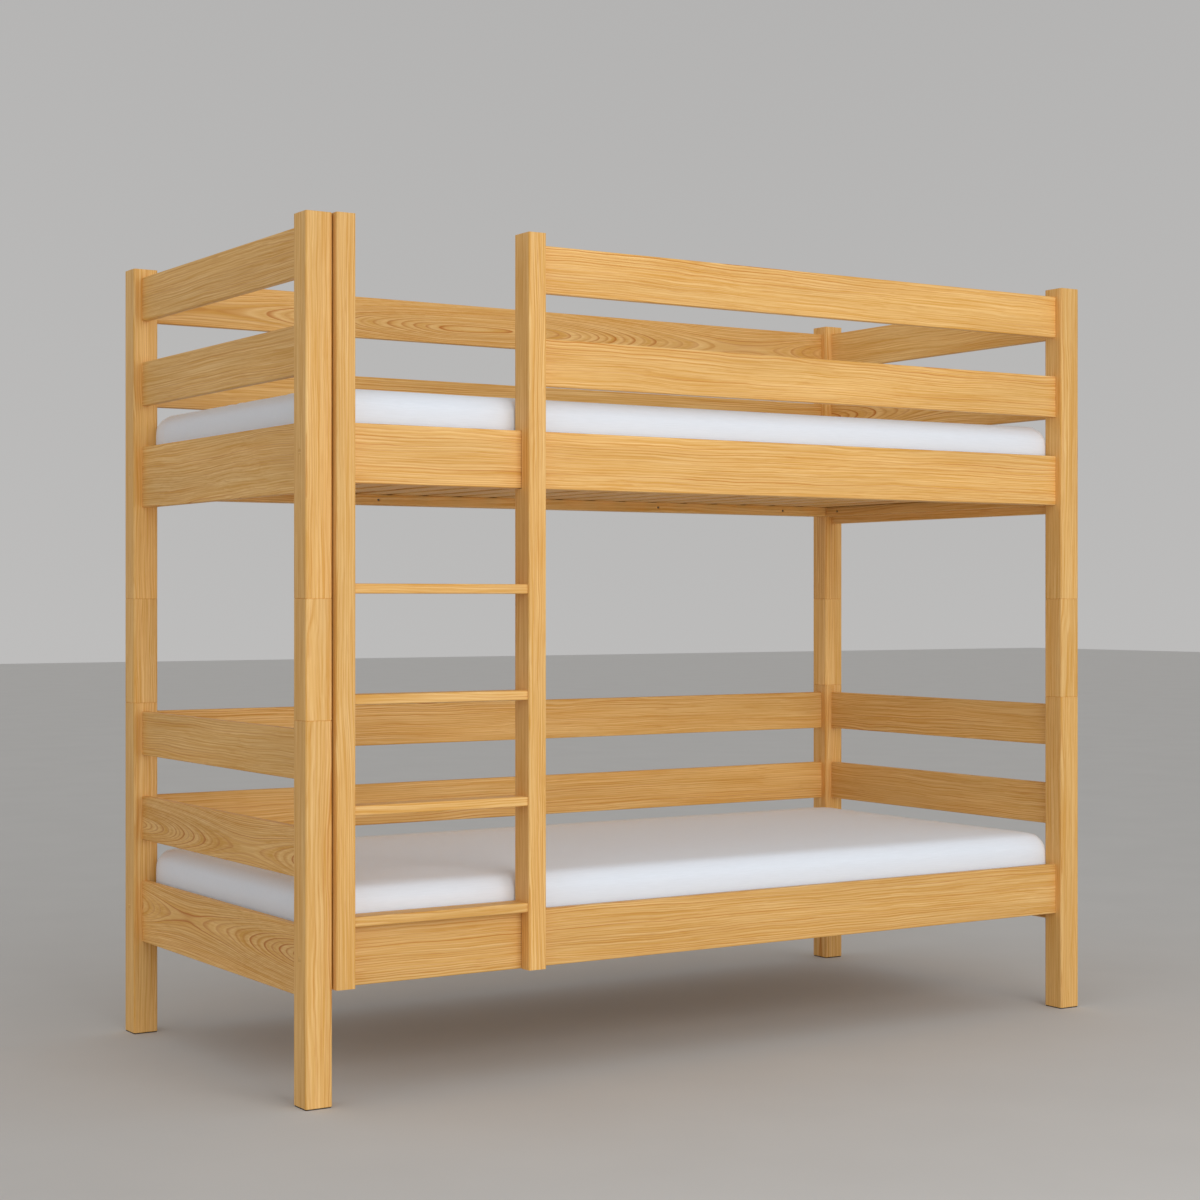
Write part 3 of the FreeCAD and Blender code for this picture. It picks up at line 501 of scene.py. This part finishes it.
def zinc_steel(name):
    """Zinc plated steel, dulled by handling: grey with faint cloudy spangle."""
    hardware = bpy.context.scene.bunk_hardware
    material, tree = new_material(name)
    spot = add(tree, "ShaderNodeTexCoord").outputs["Object"]
    spangle = add(tree, "ShaderNodeTexVoronoi", {"Vector": spot, "Scale": 700.0})
    cloud = add(tree, "ShaderNodeTexNoise", {"Vector": spot, "Scale": 260.0, "Detail": 3.0})
    shade = add(
        tree, "ShaderNodeMapRange",
        {"Value": cloud, "From Min": 0.3, "From Max": 0.7, "To Min": 0.8, "To Max": 1.1},
    )
    colour = add(
        tree, "ShaderNodeVectorMath", {0: hardware.zinc[:], "Scale": shade}, operation="SCALE"
    )
    roughness = add(
        tree, "ShaderNodeMapRange",
        {"Value": spangle.outputs["Distance"], "To Min": 0.34, "To Max": 0.5},
    )
    bump = add(tree, "ShaderNodeBump", {"Height": cloud, "Strength": 0.2, "Distance": 0.05 * MM})
    shader = add(
        tree, "ShaderNodeBsdfPrincipled",
        {"Base Color": colour, "Metallic": 1.0, "Roughness": roughness, "Normal": bump},
    )
    add(tree, "ShaderNodeOutputMaterial", {"Surface": shader})
    return material


def pressed_felt(name):
    """Dark pressed wool felt: matted fibres, quite without shine."""
    hardware = bpy.context.scene.bunk_hardware
    material, tree = new_material(name)
    spot = add(tree, "ShaderNodeTexCoord").outputs["Object"]
    fibres = add(
        tree, "ShaderNodeTexNoise",
        {"Vector": spot, "Scale": 900.0, "Detail": 4.0, "Distortion": 1.5},
    )
    shade = add(
        tree, "ShaderNodeMapRange",
        {"Value": fibres, "From Min": 0.3, "From Max": 0.7, "To Min": 0.6, "To Max": 1.5},
    )
    colour = add(
        tree, "ShaderNodeVectorMath", {0: hardware.felt[:], "Scale": shade}, operation="SCALE"
    )
    bump = add(tree, "ShaderNodeBump", {"Height": fibres, "Strength": 0.6, "Distance": 0.4 * MM})
    shader = add(
        tree, "ShaderNodeBsdfPrincipled",
        {"Base Color": colour, "Roughness": 0.95, "Normal": bump},
    )
    add(tree, "ShaderNodeOutputMaterial", {"Surface": shader})
    return material


# ---------------------------------------------------------------- pieces


def finish_with(piece, material):
    """Give a piece one material."""
    piece.data.materials.clear()
    piece.data.materials.append(material)


WIDEST_BOARD = 0.14  # metres; a row of slats counts as no wider
NARROW_TIMBER = 0.07

# Boards sawn flat close to the log's heart, which show arches: distance to the heart, sideways
# shift of the heart and how far the log bends, in millimetres.
FLAT_SAWN = {
    "upper_guard_high_back": (44, 8, 21),
    "lower_guard_low_left": (42, -16, 24),
    "lower_rail_left": (52, 14, 20),
    "lower_post_back_right": (40, 4, 16),
    "upper_post_back_right": (42, -5, 15),
    "upper_rail_back": (52, 10, 18),
    "upper_guard_low_right": (50, 12, 18),
}

# Painted shade: pieces that stand in less light get a darker colour, given as a share of its brightness.
PAINTED_SHADE = {
    "lower_guard_high_right": 0.91,
    "lower_guard_low_right": 0.89,
    "upper_post_front_right": 0.92,
    "spacer_front_right": 0.92,
    "lower_post_front_right": 0.92,
    "lower_rail_front": 0.93,
    "lower_guard_high_back": 0.95,
    "lower_guard_low_back": 0.95,
}


def cut_for(name, along, across, width):
    """How the named piece was sawn: calm on one edge with fine lines on the other, unless flat sawn."""
    chance = random.Random(name)
    length_offset = chance.uniform(2.0, 60.0)
    side = chance.choice((-1, 1))
    slope = chance.uniform(-0.012, 0.012)
    tone = 1.0 + chance.uniform(-1, 1) * bpy.context.scene.bunk_pine.tone_spread
    # Painted shade: pieces that stand in less light are made darker.
    tone *= PAINTED_SHADE.get(name, 1.0)
    swirl = (
        chance.uniform(-0.6, 0.6),
        -side * chance.uniform(0.05, 0.4) * width,
        chance.choice((-1, 1)) * chance.uniform(1.5, 4.0) * MM,
    )
    if name in FLAT_SAWN:
        depth, shift, bow = (value * MM for value in FLAT_SAWN[name])
        wave, ring, bold, faint = 1.4 * MM, 0.55, 1.4, 0.7
    else:
        depth = chance.uniform(38, 62) * MM
        shift = side * width * chance.uniform(0.68, 1.15)
        bow = chance.uniform(1, 4) * MM
        wave, ring, faint = chance.uniform(3.6, 5.6) * MM, chance.uniform(0.85, 1.15), 0.15
        # Narrow timber is picked for its quiet grain.
        bold = 0.65 if width < NARROW_TIMBER else 0.95
    return Cut(
        along, across, depth, shift, slope, wave, bow, ring, bold, faint, swirl, length_offset, tone
    )


def finish_pine(name, along=None, row=None):
    """Lacquered pine for a CAD piece, its grain along the longest side unless told."""
    low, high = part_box(name)
    span = {axis: high[number] - low[number] for number, axis in enumerate("xyz")}
    shortest_first = sorted(span, key=span.get)
    along = along or shortest_first[-1]
    through, over = (axis for axis in shortest_first if axis != along)
    cut = cut_for(name, along, through, min(span[over], WIDEST_BOARD))
    finish_with(NODES[name], pine(f"lacquered_pine_{name}", low, high, cut, row))


def nodes_with(*words):
    """Names of the CAD nodes that hold one of the words."""
    return sorted(name for name in NODES if any(word in name for word in words))


class BUNKBED_OT_posts_and_boards(bpy.types.Operator):
    """Finish the posts, spacers, rails, guard boards and battens in lacquered pine"""

    bl_idname = "bunkbed.posts_and_boards"
    bl_label = "Posts and boards"

    def execute(self, context):
        for name in nodes_with("post", "spacer", "rail", "guard", "batten_front", "batten_back",
                               "batten_left", "batten_right", "stacking_pins"):
            finish_pine(name)
        for name in nodes_with("bolt_plugs"):
            finish_pine(name, along="y")
        return {"FINISHED"}


class BUNKBED_OT_ladder(bpy.types.Operator):
    """Finish the ladder's stiles and treads in lacquered pine"""

    bl_idname = "bunkbed.ladder"
    bl_label = "Ladder"

    def execute(self, context):
        for name in nodes_with("ladder_stile", "ladder_tread"):
            finish_pine(name)
        return {"FINISHED"}


def loose_parts(node):
    """The points of every separate solid in a CAD node, as rows."""
    shape = bmesh.new()
    shape.from_mesh(NODES[node].data)
    bmesh.ops.remove_doubles(shape, verts=shape.verts, dist=0.1 * SAME_PLACE)
    seen = set()
    parts = []
    for start in shape.verts:
        if start in seen:
            continue
        seen.add(start)
        waiting = [start]
        part = []
        while waiting:
            vertex = waiting.pop()
            part.append(vertex.co[:])
            for edge in vertex.link_edges:
                other = edge.other_vert(vertex)
                if other not in seen:
                    seen.add(other)
                    waiting.append(other)
        parts.append(np.array(part))
    shape.free()
    return parts


def slat_row(name):
    """Middle of a bed's first slat and the pitch of its slats, read from the mesh."""
    middles = sorted((part[:, 0].min() + part[:, 0].max()) / 2 for part in loose_parts(name))
    return middles[0], (middles[-1] - middles[0]) / (len(middles) - 1)


class BUNKBED_OT_slats(bpy.types.Operator):
    """Finish the slats in lacquered pine, each from another part of the log"""

    bl_idname = "bunkbed.slats"
    bl_label = "Slats"

    def execute(self, context):
        for name in nodes_with("slats"):
            finish_pine(name, along="y", row=slat_row(name))
        return {"FINISHED"}


def body_of(node):
    """The body that a CAD node belongs to."""
    bodies = frame["record"]["behaviour"]["bodies"]
    return next(body for body, members in bodies.items() if node in members)


def rounded_block(name, low, high, edge_round, corner_round):
    """A closed block with rounded corners and rounded top and bottom edges."""
    shape = bmesh.new()
    bmesh.ops.create_cube(shape, size=1.0)
    bmesh.ops.scale(shape, vec=high - low, verts=shape.verts)
    bmesh.ops.translate(shape, vec=(low + high) / 2, verts=shape.verts)

    def at(vertex, height):
        return abs(vertex.co.z - height) < SAME_PLACE

    def upright(edge):
        return at(edge.verts[0], low.z) != at(edge.verts[1], low.z)

    def top(edge):
        return all(at(vertex, high.z) for vertex in edge.verts)

    def bottom(edge):
        return all(at(vertex, low.z) for vertex in edge.verts)

    for chosen, offset, segments in (
        (upright, corner_round, 5),
        (top, edge_round, 7),
        (bottom, edge_round / 2, 4),
    ):
        edges = [edge for edge in shape.edges if chosen(edge)]
        bmesh.ops.bevel(
            shape, geom=edges, offset=offset, segments=segments, profile=0.5, affect="EDGES"
        )
    mesh = bpy.data.meshes.new(name)
    shape.to_mesh(mesh)
    shape.free()
    piece = bpy.data.objects.new(name, mesh)
    bpy.context.scene.collection.objects.link(piece)
    return piece


def apply_modifiers(piece):
    """Bake a piece's modifiers into its mesh."""
    graph = bpy.context.evaluated_depsgraph_get()
    mesh = bpy.data.meshes.new_from_object(piece.evaluated_get(graph))
    old = piece.data
    piece.modifiers.clear()
    piece.data = mesh
    bpy.data.meshes.remove(old)
    mesh.name = piece.name


def points_of(mesh):
    """A mesh's points as rows."""
    flat = np.empty(len(mesh.vertices) * 3)
    mesh.vertices.foreach_get("co", flat)
    return flat.reshape(-1, 3)


def set_points(mesh, points):
    """Move a mesh's points."""
    mesh.vertices.foreach_set("co", points.ravel())
    mesh.update()


def normals_of(mesh):
    """A mesh's point normals as rows."""
    flat = np.empty(len(mesh.vertices) * 3)
    mesh.vertex_normals.foreach_get("vector", flat)
    return flat.reshape(-1, 3)


SIM_FRAMES = 20
CLOTH_QUALITY = 4
CLOTH_STRETCH = 12
CLOTH_BEND = 2
COVER_CLEARANCE = 1.0 * MM  # to the posts and the ladder's stiles


def swell_cover(piece, pressure, cap):
    """Blow the cover up by cloth simulation, no point moving further than the cap."""
    before = points_of(piece.data)
    cloth = piece.modifiers.new("cover", "CLOTH").settings
    cloth.use_pressure = True
    cloth.uniform_pressure_force = pressure
    cloth.effector_weights.gravity = 0
    cloth.quality = CLOTH_QUALITY
    cloth.tension_stiffness = CLOTH_STRETCH
    cloth.compression_stiffness = CLOTH_STRETCH
    cloth.bending_stiffness = CLOTH_BEND
    scene = bpy.context.scene
    for step in range(1, SIM_FRAMES + 1):
        scene.frame_set(step)
    apply_modifiers(piece)
    scene.frame_set(1)
    moved = points_of(piece.data) - before
    reach = np.linalg.norm(moved, axis=1, keepdims=True)
    set_points(piece.data, before + moved * np.minimum(1.0, cap / np.maximum(reach, 1e-9)))


# A small fold of the cover: its middle along the bed, across it and upwards, each from 0 to 1 in the
# mattress's box, its direction, its length and width in metres, and its share of the full height.
Crease = namedtuple("Crease", "middle direction length width height")

END_FOLDS = 16  # on each end
TOP_FOLDS = 13
SIDE_FOLDS = 14
HOLLOW_WIDTH = 1.9  # the hollow beside a fold, as a share of the fold's own width
HOLLOW_DEPTH = 0.6


def creases_for(name):
    """Folds of one mattress's cover: upright ones on its ends and sides, and fanned ones on top."""
    chance = random.Random(name)
    folds = []
    for end in (0.0, 1.0):
        for _ in range(END_FOLDS):
            middle = (end, chance.uniform(0.02, 0.98), chance.uniform(0.55, 1.0))
            lean = chance.uniform(-0.18, 0.18)
            folds.append(Crease(middle, (0.0, lean, 1.0), chance.uniform(0.05, 0.11),
                                chance.uniform(0.006, 0.012), chance.uniform(0.3, 0.8)))
    for _ in range(TOP_FOLDS):
        end = chance.choice((0.93, 0.95, 0.97, 0.04))
        middle = (end, chance.uniform(0.08, 0.92), 1.0)
        angle = chance.uniform(-0.5, 0.5)
        folds.append(Crease(middle, (math.cos(angle), math.sin(angle), 0.0),
                            chance.uniform(0.07, 0.16), chance.uniform(0.009, 0.016),
                            chance.uniform(0.4, 1.0)))
    for _ in range(SIDE_FOLDS):
        side = chance.choice((0.0, 1.0))
        middle = (chance.uniform(0.03, 0.97), side, chance.uniform(0.7, 1.0))
        lean = chance.uniform(-0.3, 0.3)
        folds.append(Crease(middle, (lean, 0.0, 1.0), chance.uniform(0.04, 0.08),
                            chance.uniform(0.007, 0.013), chance.uniform(0.2, 0.5)))
    return folds


def fold_cover(piece, low, high, height):
    """Push the cover's small folds out of its surface."""
    points, normals = points_of(piece.data), normals_of(piece.data)
    lift = np.zeros(len(points))
    for crease in creases_for(piece.name):
        middle = np.array(low) + np.array(crease.middle) * (np.array(high) - np.array(low))
        direction = np.array(crease.direction) / np.linalg.norm(crease.direction)
        away = points - middle
        run = away @ direction
        off = np.linalg.norm(away - run[:, None] * direction, axis=1)
        ridge = np.exp(-(off / crease.width) ** 2)
        hollow = HOLLOW_DEPTH * np.exp(-(off / (HOLLOW_WIDTH * crease.width)) ** 2)
        lift += crease.height * (ridge - hollow) * np.exp(-(run / crease.length) ** 2)
    set_points(piece.data, points + normals * (lift * height)[:, None])


def keep_clear(piece, node, gap):
    """Keep the cover off the posts, the ladder's stiles and the slats."""
    points = points_of(piece.data)
    bed = node.split("_")[0]
    cover_low, cover_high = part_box(node)
    middle = (cover_low + cover_high) / 2
    points[:, 2] = np.maximum(points[:, 2], cover_low.z)
    for corner in ("front_left", "front_right", "back_left", "back_right"):
        low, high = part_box(f"{bed}_post_{corner}")
        into = [1 if middle[axis] > high[axis] else -1 for axis in (0, 1)]
        faces = [high[axis] if into[axis] > 0 else low[axis] for axis in (0, 1)]
        inside = [(points[:, axis] - faces[axis]) * into[axis] - gap for axis in (0, 1)]
        hit = (inside[0] < 0) & (inside[1] < 0)
        nearer = inside[0] > inside[1]
        for axis in (0, 1):
            moved = hit & (nearer if axis == 0 else ~nearer)
            points[moved, axis] -= inside[axis][moved] * into[axis]
    for name in nodes_with("ladder_stile"):
        low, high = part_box(name)
        near = (points[:, 0] > low.x - gap) & (points[:, 0] < high.x + gap)
        points[near, 1] = np.maximum(points[near, 1], high.y + gap)
    set_points(piece.data, points)


def make_mattress(node, material):
    """A cotton covered mattress in the place of its CAD block."""
    mattress_settings = bpy.context.scene.bunk_mattress
    low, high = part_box(node)
    fuller = Vector((1, 1, 0)) * mattress_settings.swell * 0.5
    start_low = low - fuller
    start_high = high + fuller
    piece = rounded_block(
        f"{node}_cover", start_low, start_high, mattress_settings.edge_round,
        mattress_settings.corner_round,
    )
    remesh = piece.modifiers.new("even", "REMESH")
    remesh.mode = "VOXEL"
    remesh.voxel_size = mattress_settings.voxel
    remesh.use_smooth_shade = True
    apply_modifiers(piece)
    swell_cover(piece, mattress_settings.pressure, mattress_settings.swell)
    finer = piece.modifiers.new("finer", "SUBSURF")
    finer.levels = 1
    finer.render_levels = 1
    apply_modifiers(piece)
    fold_cover(piece, low, high, mattress_settings.crease_height)
    keep_clear(piece, node, COVER_CLEARANCE)
    for polygon in piece.data.polygons:
        polygon.use_smooth = True
    finish_with(piece, material)
    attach(piece, body_of(node))
    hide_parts(node)


class BUNKBED_OT_mattresses(bpy.types.Operator):
    """Make both mattresses, swollen by cloth simulation under a white cotton cover"""

    bl_idname = "bunkbed.mattresses"
    bl_label = "Mattresses"

    def execute(self, context):
        material = cotton("white_cotton_percale")
        for node in nodes_with("mattress"):
            make_mattress(node, material)
        return {"FINISHED"}


# One screw of a CAD group: where its head's face lies, which way that face looks, and its sizes.
Screw = namedtuple("Screw", "place outward length head_radius head_height shank_radius")


def screws_in(node):
    """Every screw or bolt of a CAD node, measured on its mesh."""
    return [measured_screw(part) for part in loose_parts(node)]


def measured_screw(points):
    """Place and sizes of one screw, from its points."""
    low, high = points.min(axis=0), points.max(axis=0)
    axis = int(np.argmax(high - low))
    middle = (low + high) / 2
    off = points - middle
    off[:, axis] = 0
    radius = np.linalg.norm(off, axis=1)
    ends = [
        radius[np.abs(points[:, axis] - end) < SAME_PLACE].max() for end in (low[axis], high[axis])
    ]
    head = int(ends[1] > ends[0])
    face = (low, high)[head][axis]
    steps = np.unique(np.abs(points[:, axis] - face).round(5))
    place = middle.copy()
    place[axis] = face
    outward = np.zeros(3)
    outward[axis] = 1 if head else -1
    return Screw(place, outward, high[axis] - low[axis], max(ends), steps[1], min(ends))


HEAD_SIDES = 20
SHANK_SIDES = 12
RECESS_RADIUS = 0.55  # of the head's radius
RECESS_DEEPEST = 0.7  # of the head's height


def screw_nodes(name):
    """Geometry nodes that put a screw on every point, its head's face looking along 'outward'."""
    tree = bpy.data.node_groups.new(name, "GeometryNodeTree")
    tree.is_modifier = True
    sockets = tree.interface
    sockets.new_socket("Geometry", in_out="INPUT", socket_type="NodeSocketGeometry")
    for label in ("Length", "Head Radius", "Head Height", "Head Foot Radius", "Shank Radius",
                  "Recess Radius", "Recess Depth"):
        sockets.new_socket(label, in_out="INPUT", socket_type="NodeSocketFloat")
    sockets.new_socket("Hexagonal Recess", in_out="INPUT", socket_type="NodeSocketBool")
    sockets.new_socket("Material", in_out="INPUT", socket_type="NodeSocketMaterial")
    sockets.new_socket("Geometry", in_out="OUTPUT", socket_type="NodeSocketGeometry")
    given = tree.nodes.new("NodeGroupInput").outputs

    # The head, its face at the origin and looking along Z.
    head_height = given["Head Height"]
    cone = add(
        tree, "GeometryNodeMeshCone",
        {
            "Vertices": HEAD_SIDES,
            "Radius Top": given["Head Radius"],
            "Radius Bottom": given["Head Foot Radius"],
            "Depth": head_height,
        },
    )
    head_foot = add(tree, "ShaderNodeMath", {0: head_height, 1: -1.0}, operation="MULTIPLY")
    head_place = add(tree, "ShaderNodeCombineXYZ", {"Z": head_foot})
    head = add(tree, "GeometryNodeTransform", {"Geometry": cone, "Translation": head_place})

    # The recess is cut by a cross of two bars, or by a hexagon, half of it above the face.
    deep = add(tree, "ShaderNodeMath", {0: given["Recess Depth"], 1: 2.0}, operation="MULTIPLY")
    reach = add(tree, "ShaderNodeMath", {0: given["Recess Radius"], 1: 2.0}, operation="MULTIPLY")
    slim = add(tree, "ShaderNodeMath", {0: given["Recess Radius"], 1: 0.5}, operation="MULTIPLY")
    first_size = add(tree, "ShaderNodeCombineXYZ", {"X": reach, "Y": slim, "Z": deep})
    second_size = add(tree, "ShaderNodeCombineXYZ", {"X": slim, "Y": reach, "Z": deep})
    first_bar = add(tree, "GeometryNodeMeshCube", {"Size": first_size})
    second_bar = add(tree, "GeometryNodeMeshCube", {"Size": second_size})
    cross = add(tree, "GeometryNodeJoinGeometry", {"Geometry": [first_bar, second_bar]})
    hexagon = add(
        tree, "GeometryNodeMeshCylinder",
        {"Vertices": 6, "Radius": given["Recess Radius"], "Depth": deep},
    )
    recess = add(
        tree, "GeometryNodeSwitch",
        {"Switch": given["Hexagonal Recess"], "False": cross, "True": hexagon},
        input_type="GEOMETRY",
    )
    cut = add(
        tree, "GeometryNodeMeshBoolean", {"Mesh 1": head, "Mesh 2": recess},
        operation="DIFFERENCE", solver="EXACT",
    )

    # The shank hangs below the head.
    shank_length = add(
        tree, "ShaderNodeMath", {0: given["Length"], 1: head_height}, operation="SUBTRACT"
    )
    cylinder = add(
        tree, "GeometryNodeMeshCylinder",
        {"Vertices": SHANK_SIDES, "Radius": given["Shank Radius"], "Depth": shank_length},
    )
    half = add(tree, "ShaderNodeMath", {0: shank_length, 1: 0.5}, operation="MULTIPLY")
    drop = add(tree, "ShaderNodeMath", {0: half, 1: head_height}, operation="ADD")
    below = add(tree, "ShaderNodeMath", {0: drop, 1: -1.0}, operation="MULTIPLY")
    shank_place = add(tree, "ShaderNodeCombineXYZ", {"Z": below})
    shank = add(tree, "GeometryNodeTransform", {"Geometry": cylinder, "Translation": shank_place})
    screw = add(tree, "GeometryNodeJoinGeometry", {"Geometry": [cut, shank]})

    outward = add(
        tree, "GeometryNodeInputNamedAttribute", {"Name": "outward"}, data_type="FLOAT_VECTOR"
    )
    turned = add(tree, "FunctionNodeAlignRotationToVector", {"Vector": outward}, axis="Z")
    spread = add(
        tree, "GeometryNodeInstanceOnPoints",
        {"Points": given["Geometry"], "Instance": screw, "Rotation": turned},
    )
    real = add(tree, "GeometryNodeRealizeInstances", {"Geometry": spread})
    coated = add(
        tree, "GeometryNodeSetMaterial", {"Geometry": real, "Material": given["Material"]}
    )
    add(tree, "NodeGroupOutput", {0: coated})
    return tree


def make_screws(node, tree, material, hexagonal):
    """Replace a CAD node's plain screws by ones with a recess in the head."""
    hardware = bpy.context.scene.bunk_hardware
    screws = screws_in(node)
    sample = screws[0]
    mesh = bpy.data.meshes.new(f"{node}_finished")
    mesh.from_pydata([screw.place for screw in screws], [], [])
    outward = mesh.attributes.new("outward", "FLOAT_VECTOR", "POINT")
    outward.data.foreach_set("vector", np.concatenate([screw.outward for screw in screws]))
    piece = bpy.data.objects.new(mesh.name, mesh)
    bpy.context.scene.collection.objects.link(piece)
    values = {
        "Length": sample.length,
        "Head Radius": sample.head_radius,
        "Head Height": sample.head_height,
        "Head Foot Radius": sample.head_radius if hexagonal else sample.shank_radius,
        "Shank Radius": sample.shank_radius,
        "Recess Radius": sample.head_radius * RECESS_RADIUS,
        "Recess Depth": min(hardware.recess_depth, sample.head_height * RECESS_DEEPEST),
        "Hexagonal Recess": hexagonal,
        "Material": material,
    }
    modifier = piece.modifiers.new("screws", "NODES")
    modifier.node_group = tree
    for item in tree.interface.items_tree:
        if item.in_out == "INPUT" and item.name in values:
            value = values[item.name]
            modifier[item.identifier] = float(value) if isinstance(value, np.floating) else value
    apply_modifiers(piece)
    finish_with(piece, material)
    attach(piece, body_of(node))
    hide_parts(node)


class BUNKBED_OT_hardware(bpy.types.Operator):
    """Make the screws and ladder bolts, and finish the bolts, barrel nuts and felt pads"""

    bl_idname = "bunkbed.hardware"
    bl_label = "Hardware"

    def execute(self, context):
        steel = zinc_steel("zinc_plated_steel")
        tree = screw_nodes("screws")
        for node in ("batten_screws", "slat_screws", "ladder_bolts"):
            make_screws(node, tree, steel, hexagonal=node == "ladder_bolts")
        for node in ("frame_bolts", "barrel_nuts"):
            finish_with(NODES[node], steel)
        finish_with(NODES["felt_pads"], pressed_felt("pressed_wool_felt"))
        return {"FINISHED"}


# ---------------------------------------------------------------- stage


def aim(thing, target):
    """Turn a light so that it shines at a point."""
    thing.rotation_euler = (target - thing.location).to_track_quat("-Z", "Y").to_euler()


def soft_light(name, place, target, size, power):
    """A large square light, which leaves soft shadows."""
    data = bpy.data.lights.new(name, "AREA")
    data.size = size
    data.energy = power
    light = bpy.data.objects.new(name, data)
    light.location = place
    aim(light, target)
    bpy.context.scene.collection.objects.link(light)


def plain_paint(name, colour):
    """Matte wall paint on a smooth floor, with the faint mottling that a roller leaves."""
    material, tree = new_material(name)
    spot = add(tree, "ShaderNodeTexCoord").outputs["Object"]
    mottle = add(tree, "ShaderNodeTexNoise", {"Vector": spot, "Scale": 3.0, "Detail": 3.0})
    shade = add(
        tree, "ShaderNodeMapRange",
        {"Value": mottle, "From Min": 0.3, "From Max": 0.7, "To Min": 0.985, "To Max": 1.015},
    )
    tint = add(tree, "ShaderNodeVectorMath", {0: colour[:], "Scale": shade}, operation="SCALE")
    shader = add(tree, "ShaderNodeBsdfPrincipled", {"Base Color": tint, "Roughness": 0.9})
    add(tree, "ShaderNodeOutputMaterial", {"Surface": shader})
    return material


class BUNKBED_OT_stage(bpy.types.Operator):
    """Make the camera, the pale floor and the soft studio light"""

    bl_idname = "bunkbed.stage"
    bl_label = "Studio"

    def execute(self, context):
        scene = context.scene
        stage = scene.bunk_stage
        scene.view_settings.view_transform = "Standard"

        camera_data = bpy.data.cameras.new("camera")
        camera_data.sensor_width = 36
        camera_data.lens = stage.camera_lens
        camera = bpy.data.objects.new("camera", camera_data)
        camera.location = stage.camera_place
        camera.rotation_euler = (math.radians(90), 0, -stage.camera_turn)
        scene.collection.objects.link(camera)
        scene.camera = camera

        shape = bmesh.new()
        bmesh.ops.create_grid(shape, x_segments=1, y_segments=1, size=stage.floor_size)
        mesh = bpy.data.meshes.new("floor")
        shape.to_mesh(mesh)
        shape.free()
        floor = bpy.data.objects.new("floor", mesh)
        scene.collection.objects.link(floor)
        finish_with(floor, plain_paint("pale_floor_paint", stage.floor))

        world = bpy.data.worlds.new("studio")
        world.use_nodes = True
        tree = world.node_tree
        tree.nodes.clear()
        # Brighter in front of the bed and to its left, and brighter low down than overhead.
        towards = add(tree, "ShaderNodeTexCoord").outputs["Generated"]
        lean = add(
            tree, "ShaderNodeVectorMath", {0: towards, 1: stage.surround_lean[:]},
            operation="DOT_PRODUCT",
        )
        share = add(tree, "ShaderNodeMath", {0: lean.outputs["Value"], 1: 1.0}, operation="ADD")
        strength = add(
            tree, "ShaderNodeMath", {0: share, 1: stage.surround_strength}, operation="MULTIPLY"
        )
        glow = add(
            tree, "ShaderNodeBackground", {"Color": opaque(stage.surround), "Strength": strength}
        )
        add(tree, "ShaderNodeOutputWorld", {"Surface": glow})
        scene.world = world

        middle = (CAD_BOUNDS[0] + CAD_BOUNDS[1]) / 2
        soft_light("key", stage.key_place, middle, stage.key_size, stage.key_power)
        return {"FINISHED"}


# ---------------------------------------------------------------- add-on


class BUNKBED_PT_sidebar(bpy.types.Panel):
    """Sizes, colours and buttons in the 3D view's sidebar"""

    bl_idname = "BUNKBED_PT_sidebar"
    bl_label = "Bunk bed"
    bl_space_type = "VIEW_3D"
    bl_region_type = "UI"
    bl_category = "Bunk bed"

    def draw(self, context):
        for operator in OPERATORS:
            self.layout.operator(operator.bl_idname)
        for name, settings in SETTINGS.items():
            box = self.layout.box()
            box.label(text=settings.__doc__)
            for prop in settings.__annotations__:
                box.prop(getattr(context.scene, name), prop)


OPERATORS = (
    BUNKBED_OT_stage,
    BUNKBED_OT_posts_and_boards,
    BUNKBED_OT_ladder,
    BUNKBED_OT_slats,
    BUNKBED_OT_mattresses,
    BUNKBED_OT_hardware,
)
CLASSES = tuple(SETTINGS.values()) + OPERATORS + (BUNKBED_PT_sidebar,)


def register():
    """Register the classes and hang the settings on the scene."""
    for cls in CLASSES:
        bpy.utils.register_class(cls)
    for name, settings in SETTINGS.items():
        setattr(bpy.types.Scene, name, bpy.props.PointerProperty(type=settings))


def unregister():
    """Take the settings and classes away again."""
    for name in SETTINGS:
        delattr(bpy.types.Scene, name)
    for cls in reversed(CLASSES):
        bpy.utils.unregister_class(cls)


def main():
    """Register the add-on, then make everything."""
    register()
    for operator in OPERATORS:
        group, call = operator.bl_idname.split(".")
        getattr(getattr(bpy.ops, group), call)()


if __name__ == "__main__":
    main()
